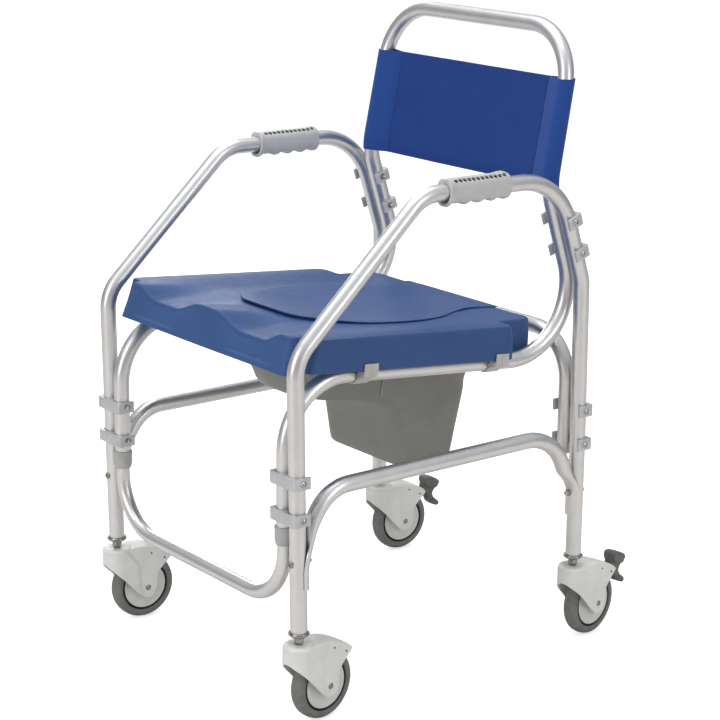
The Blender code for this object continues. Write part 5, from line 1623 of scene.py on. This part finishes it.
def pocket_lining(bm, rings, heights, start, count, sign):
    """Inner wall round one post, so the cloth has thickness at the open ends."""
    total, last_row = len(rings[0]), len(rings) - 1
    inner = []
    for ring, z in zip(rings, heights):
        post_x, post_y = post_centre(z)
        centre = Vector((sign * post_x, post_y))
        row = []
        for vert in ring[start:start + count]:
            place = Vector((vert.co.x, vert.co.y))
            away = place - centre
            if away.length < TUBE_R + 0.004:
                place = centre + away.normalized() * (TUBE_R + 0.0003)
            else:
                place = place + Vector((0, 0.0011 if place.y < post_y + 0.0015 else -0.0011))
            row.append(bm.verts.new((place.x, place.y, vert.co.z)))
        inner.append(row)
    for low, high in zip(inner[:-1], inner[1:]):
        for k in range(count - 1):
            bm.faces.new((low[k], high[k], high[k + 1], low[k + 1]))
        bm.faces.new((low[-1], high[-1], high[0], low[0]))
    for r in (0, last_row):
        outer, row = rings[r][start:start + count], inner[r]
        for k in range(count - 1):
            bm.faces.new((outer[k], outer[k + 1], row[k + 1], row[k]))
        before, after = rings[r][start - 1], rings[r][(start + count) % total]
        bm.faces.new((before, outer[0], row[0]))
        bm.faces.new((after, row[-1], outer[-1]))
        bm.faces.new((before, row[0], row[-1], after))


def sling_cloth():
    heights = [lerp(SLING_LOW, SLING_HIGH, k / SLING_ROWS) for k in range(SLING_ROWS + 1)]
    bm = bmesh.new()
    layer = bm.loops.layers.uv.new("cloth")
    outline = []
    for z in heights:
        front, right, back, left = sling_section(z)
        outline.append([(p.x, p.y, z + sling_sag(p.x, sling_height(z)))
                        for p in front + right + back + left])
    rings = [add_ring(bm, row) for row in outline]
    lengths = [0.0]
    for start, end in zip(outline[0], outline[0][1:] + outline[0][:1]):
        lengths.append(lengths[-1] + (Vector(end) - Vector(start)).length)
    for r in range(SLING_ROWS):
        low, high = heights[r], heights[r + 1]
        for i, face in enumerate(bridge(bm, rings[r], rings[r + 1])):
            us = (lengths[i], lengths[i + 1], lengths[i + 1], lengths[i])
            for loop, u, v in zip(face.loops, us, (low, low, high, high)):
                loop[layer].uv = (u, v)
    # the panel is closed top and bottom; the pockets stay open round the posts
    panel = PANEL_STEPS + 1
    pocket = 2 * len(FLAT_STEPS) + WRAP_STEPS + 1
    back_end = 2 * panel + pocket
    for ring, flip in ((rings[0], True), (rings[-1], False)):
        for k in range(panel - 1):
            corners = (ring[k], ring[k + 1], ring[back_end - 2 - k], ring[back_end - 1 - k])
            face = bm.faces.new(corners[::-1] if flip else corners)
            for loop in face.loops:
                loop[layer].uv = (loop.vert.co.x, loop.vert.co.z)
    pocket_lining(bm, rings, heights, panel, pocket, 1)
    pocket_lining(bm, rings, heights, back_end, pocket, -1)
    put(mesh_object("sling_cloth", bm), CLOTH, "backrest_sling", smooth=60)


def stitch(bm, start, end, up, sides=6):
    """A short thread, half sunk into the cloth."""
    run = end - start
    side = run.cross(up).normalized()
    angles = [2 * math.pi * i / sides for i in range(sides)]
    rings = []
    for t, swell in ((0.0, 0.15), (0.12, 0.8), (0.5, 1.0), (0.88, 0.8), (1.0, 0.15)):
        centre = start + run * t + up * (STITCH_R * 0.55 * math.sin(math.pi * t))
        radius = STITCH_R * swell
        rings.append(add_ring(bm, [centre + side * (radius * math.cos(a))
                                   + up * (radius * math.sin(a)) for a in angles]))
    loft(bm, rings)


def sling_stitches():
    """Two rows by each pocket and one along each hem, on the front and the back face."""
    bm = bmesh.new()
    for face, facing in ((0, -1), (2, 1)):
        up = Vector((0, facing, 0))
        for sign in (-1, 1):
            for inset in (0.0022, 0.0058):
                x = sign * (SEAM_X - inset)
                z = SLING_LOW + 0.004
                while z < SLING_HIGH - 0.006:
                    ends = []
                    for end_z in (z, z + STITCH):
                        near = min(sling_section(end_z)[face], key=lambda p: abs(p.x - x))
                        ends.append(Vector((x, near.y + facing * 0.00005, end_z)))
                    stitch(bm, *ends, up)
                    z += STITCH_PITCH
        for hem_z in (SLING_LOW + 0.0085, SLING_HIGH - 0.0085):
            section = sling_section(hem_z)[face]
            v = sling_height(hem_z)
            x = -SEAM_X + 0.008
            while x < SEAM_X - 0.010:
                ends = []
                for end_x in (x, x + STITCH):
                    first, second = sorted(section, key=lambda p: abs(p.x - end_x))[:2]
                    t = (end_x - first.x) / (second.x - first.x)
                    y = first.y + (second.y - first.y) * t
                    ends.append(Vector((end_x, y + facing * 0.00005,
                                        hem_z + sling_sag(end_x, v))))
                stitch(bm, *ends, up)
                x += STITCH_PITCH
    put(mesh_object("sling_stitches", bm), THREAD, smooth=60)


sling_cloth()
sling_stitches()

# ---------------------------------------------------------------- armrest grips
GRIP_Y = {-1: (0.0035, 0.1238), 1: (-0.0172, 0.1031)}    # the two sit at different places
GRIP_UP, GRIP_DOWN, GRIP_HALF_WIDTH = 0.0190, 0.0160, 0.0166
GRIP_SIDES, GRIP_ROWS = 64, 120
RIDGE_START, RIDGE_PITCH = 0.0365, 0.0262   # ridges along the underside
SLOT_COUNT = 12
SLOT_TURN = {-1: math.radians(27), 1: math.radians(30)}
SLOT_SIZE, SLOT_SKEW = (0.0076, 0.0070, 0.0100), math.radians(-20)
ARM_SLOPE = (ARM_REAR[1] - ARM_FRONT[1]) / (ARM_REAR[0] - ARM_FRONT[0])


def arm_z(y):
    return ARM_FRONT[1] + ARM_SLOPE * (y - ARM_FRONT[0])


def grip_skin(sign, t):
    """Outer ring of the grip; t runs from its front end to its rear end."""
    front, rear = GRIP_Y[sign]
    y = lerp(front, rear, t)
    rounding = min(1.0, min(t, 1 - t) * (rear - front) / 0.0022)
    scale = lerp(0.90, 1.0, 1 - (1 - rounding) ** 2)
    flare = smooth_step(0.11, 0.0, t)
    tail = smooth_step(0.92, 1.0, t)
    wave = math.cos(2 * math.pi * (y - front - RIDGE_START) / RIDGE_PITCH)
    ridge = (0.5 + 0.5 * wave) * smooth_step(0.012, 0.022, y - front)
    down = GRIP_DOWN + 0.0052 * flare + 0.0042 * ridge * (1 - 0.3 * tail)
    rear_bump = 0.0016 * smooth_step(0.80, 0.93, t) * (1 - smooth_step(0.96, 1.0, t))
    ring = []
    for i in range(GRIP_SIDES):
        angle = 2 * math.pi * i / GRIP_SIDES
        cosine, sine = math.cos(angle), math.sin(angle)
        x = GRIP_HALF_WIDTH * math.copysign(abs(cosine) ** 0.64, cosine)
        x *= 1 + 0.055 * flare + 0.02 * tail
        if sine > 0:
            z = GRIP_UP * sine ** 0.70 + 0.0010 * flare + rear_bump
        else:
            z = -down * abs(sine) ** 0.90
        # raised strip along the top that carries the slots
        if sine > 0.75:
            z += (0.0006 * smooth_step(0.0105, 0.0085, abs(x)) * smooth_step(0.13, 0.17, t)
                  * smooth_step(0.985, 0.95, t))
        # the front mouth is cut slanting: its upper edge sits further back
        slant = 0.0035 * (0.5 + 0.5 * sine) * (1 - smooth_step(0.0, 0.08, t))
        ring.append((sign * FRAME_X + x * scale, y + slant, arm_z(y) + z * scale))
    return ring


def grip_bore(sign, k):
    """Inner ring k of 0 (rear) to 6 (front mouth, which opens downwards)."""
    front, rear = GRIP_Y[sign]
    y = lerp(front + 0.0006, rear - 0.0006, 1 - k / 6)
    ring = []
    for i in range(GRIP_SIDES):
        angle = 2 * math.pi * i / GRIP_SIDES
        sine = math.sin(angle)
        slant, radius = 0.0, TUBE_R + 0.0003
        if k == 6:
            slant = 0.0035 * (0.5 + 0.5 * sine)
            radius += 0.0040 * max(0.0, -sine)
        ring.append((sign * FRAME_X + radius * math.cos(angle), y + slant,
                     arm_z(y) + radius * sine))
    return ring


def rounded_box(name, matrix, offset, segments, upright_only):
    """Unit cube with rounded edges, placed and scaled by matrix."""
    bm = bmesh.new()
    bmesh.ops.create_cube(bm, size=1.0)
    edges = [e for e in bm.edges
             if not upright_only or abs((e.verts[0].co - e.verts[1].co).z) > 0.5]
    bmesh.ops.bevel(bm, geom=edges, offset=offset, segments=segments, affect="EDGES",
                    profile=0.5)
    bmesh.ops.transform(bm, matrix=matrix, verts=bm.verts)
    return mesh_object(name, bm)


def grip(side, sign):
    bm = bmesh.new()
    rows = [grip_skin(sign, k / GRIP_ROWS) for k in range(GRIP_ROWS + 1)]
    rows += [grip_bore(sign, k) for k in range(7)]
    rings = [add_ring(bm, row) for row in rows]
    for first, second in zip(rings, rings[1:] + rings[:1]):
        bridge(bm, first, second)
    obj = mesh_object("grip_" + side, bm)
    # slots along the top, turned a little about the bar
    slot_front, slot_rear = GRIP_Y[sign][0] + 0.0160, GRIP_Y[sign][1] - 0.0110
    turn = turn_y(SLOT_TURN[sign])
    cutters = []
    for k in range(SLOT_COUNT):
        y = lerp(slot_front, slot_rear, k / (SLOT_COUNT - 1))
        place = (move(sign * FRAME_X, y, arm_z(y)) @ turn @ move(0, 0, 0.0195)
                 @ turn_z(SLOT_SKEW) @ Matrix.Diagonal((*SLOT_SIZE, 1)))
        cutters.append(rounded_box("slot%d" % k, place, offset=0.28, segments=3,
                                   upright_only=True))
    cut(obj, *cutters)
    put(obj, GRIP_GREY, "armrest_grip_" + side, smooth=38)
    # painted shade: a dark box under the slots, seen down them in place of the shaded depth of
    # the slots
    y = (slot_front + slot_rear) / 2
    place = (move(sign * FRAME_X, y, arm_z(y)) @ turn_x(math.atan(ARM_SLOPE)) @ turn
             @ move(0, 0, 0.0160)
             @ Matrix.Diagonal((0.0094, slot_rear - slot_front + 0.009, 0.0030, 1)))
    painted_slot_shade = rounded_box("grip_core_" + side, place, offset=0.03, segments=2, upright_only=False)
    put(painted_slot_shade, DARK, smooth=35)


for side, sign in SIDES:
    grip(side, sign)


# ---------------------------------------------------------------- stage, light, camera
def floor():
    """One flat sheet, brightened for the camera, warmer and dimmer for the chair."""
    scale = 1.6
    bm = bmesh.new()
    rows = [add_ring(bm, [((-6 + 12 * k / 24) * scale, y * scale, 0.0)
                          for y in (-6.0, -3.0, 0.0, 3.0, 5.0)]) for k in range(25)]
    for first, second in zip(rows[:-1], rows[1:]):
        for i in range(len(first) - 1):
            bm.faces.new((first[i], second[i], second[i + 1], first[i + 1]))
    mesh = bpy.data.meshes.new("floor")
    bm.to_mesh(mesh)
    bm.free()
    obj = link_object("floor", mesh)
    m = Material("pale_floor")
    camera_ray = m.new("ShaderNodeLightPath").outputs["Is Camera Ray"]
    pale = m.ramp(m.noise(scale=3, detail=3), [(0.3, (0.88, 0.88, 0.88)),
                                               (0.7, (0.90, 0.90, 0.90))])
    m.feed(m.inputs["Emission Strength"], m.math("MULTIPLY", camera_ray, 0.58))
    m.finish(m.mix(camera_ray, (0.78, 0.745, 0.71), pale),
             m.remap(m.noise(scale=40, detail=3), to=(0.75, 0.85)),
             Emission_Color=(1, 1, 1, 1))
    mesh.materials.append(m.material)


def world_light():
    """White to the camera; to the chair, a dim room with grey walls, brighter overhead."""
    world = bpy.data.worlds.new("studio")
    bpy.context.scene.world = world
    world.use_nodes = True
    graph = Graph(world.node_tree)
    room = world.node_tree.nodes["Background"]
    height = graph.remap(graph.separate(graph.coords["Generated"])["Z"], span=(-1.0, 1.0))
    # from straight down to straight up
    graph.feed(room.inputs["Color"], graph.ramp(height, [
        (0.0, (0.55, 0.55, 0.56)), (0.50, (0.38, 0.39, 0.41)), (0.62, (0.42, 0.43, 0.45)),
        (0.80, (0.80, 0.81, 0.84)), (1.0, (0.95, 0.96, 0.98))]))
    room.inputs["Strength"].default_value = 0.75
    white = graph.new("ShaderNodeBackground")
    white.inputs["Color"].default_value = (1, 1, 1, 1)
    white.inputs["Strength"].default_value = 1.0
    mix = graph.new("ShaderNodeMixShader")
    graph.feed(mix.inputs[0], graph.new("ShaderNodeLightPath").outputs["Is Camera Ray"])
    graph.feed(mix.inputs[1], room.outputs[0])
    graph.feed(mix.inputs[2], white.outputs[0])
    graph.feed(world.node_tree.nodes["World Output"].inputs["Surface"], mix.outputs[0])


def area_light(name, location, target, size, power):
    light = bpy.data.lights.new(name, "AREA")
    light.shape = "RECTANGLE"
    light.size, light.size_y = size
    light.energy = power
    obj = bpy.data.objects.new(name, light)
    obj.location = location
    aim = Vector(target) - Vector(location)
    obj.rotation_euler = aim.to_track_quat("-Z", "Y").to_euler()
    bpy.context.scene.collection.objects.link(obj)


def camera():
    data = bpy.data.cameras.new("camera")
    data.sensor_width = 36.0
    data.lens = 105.46
    data.clip_start, data.clip_end = 0.05, 60
    obj = link_object("camera", data)
    right = Vector((0.61470, 0.78868, 0.01104))
    up = Vector((-0.21414, 0.15340, 0.96468))
    backward = Vector((0.75913, -0.59536, 0.26318))
    rotation = Matrix((right, up, backward)).transposed().to_4x4()
    place = Vector((2.55344, -1.97217, 1.33838)) + OFFSET
    obj.matrix_world = Matrix.Translation(place) @ rotation
    bpy.context.scene.camera = obj


floor()
world_light()
# tall soft boxes in front and at both sides, a broad one overhead
MIDDLE = (0, 0, 0.5)
area_light("key", location=(0.3, -3.2, 1.7), target=MIDDLE, size=(1.1, 2.4), power=30)
area_light("side", location=(3.3, 0.6, 1.6), target=MIDDLE, size=(0.9, 2.2), power=20)
area_light("top", location=(-0.3, -0.2, 3.0), target=(0, 0, 0.4), size=(2.2, 2.2), power=34)
area_light("rim", location=(-3.0, 1.4, 1.5), target=MIDDLE, size=(1.0, 2.2), power=22)
camera()
bpy.context.scene.view_settings.view_transform = "Standard"
bpy.context.scene.view_settings.look = "None"
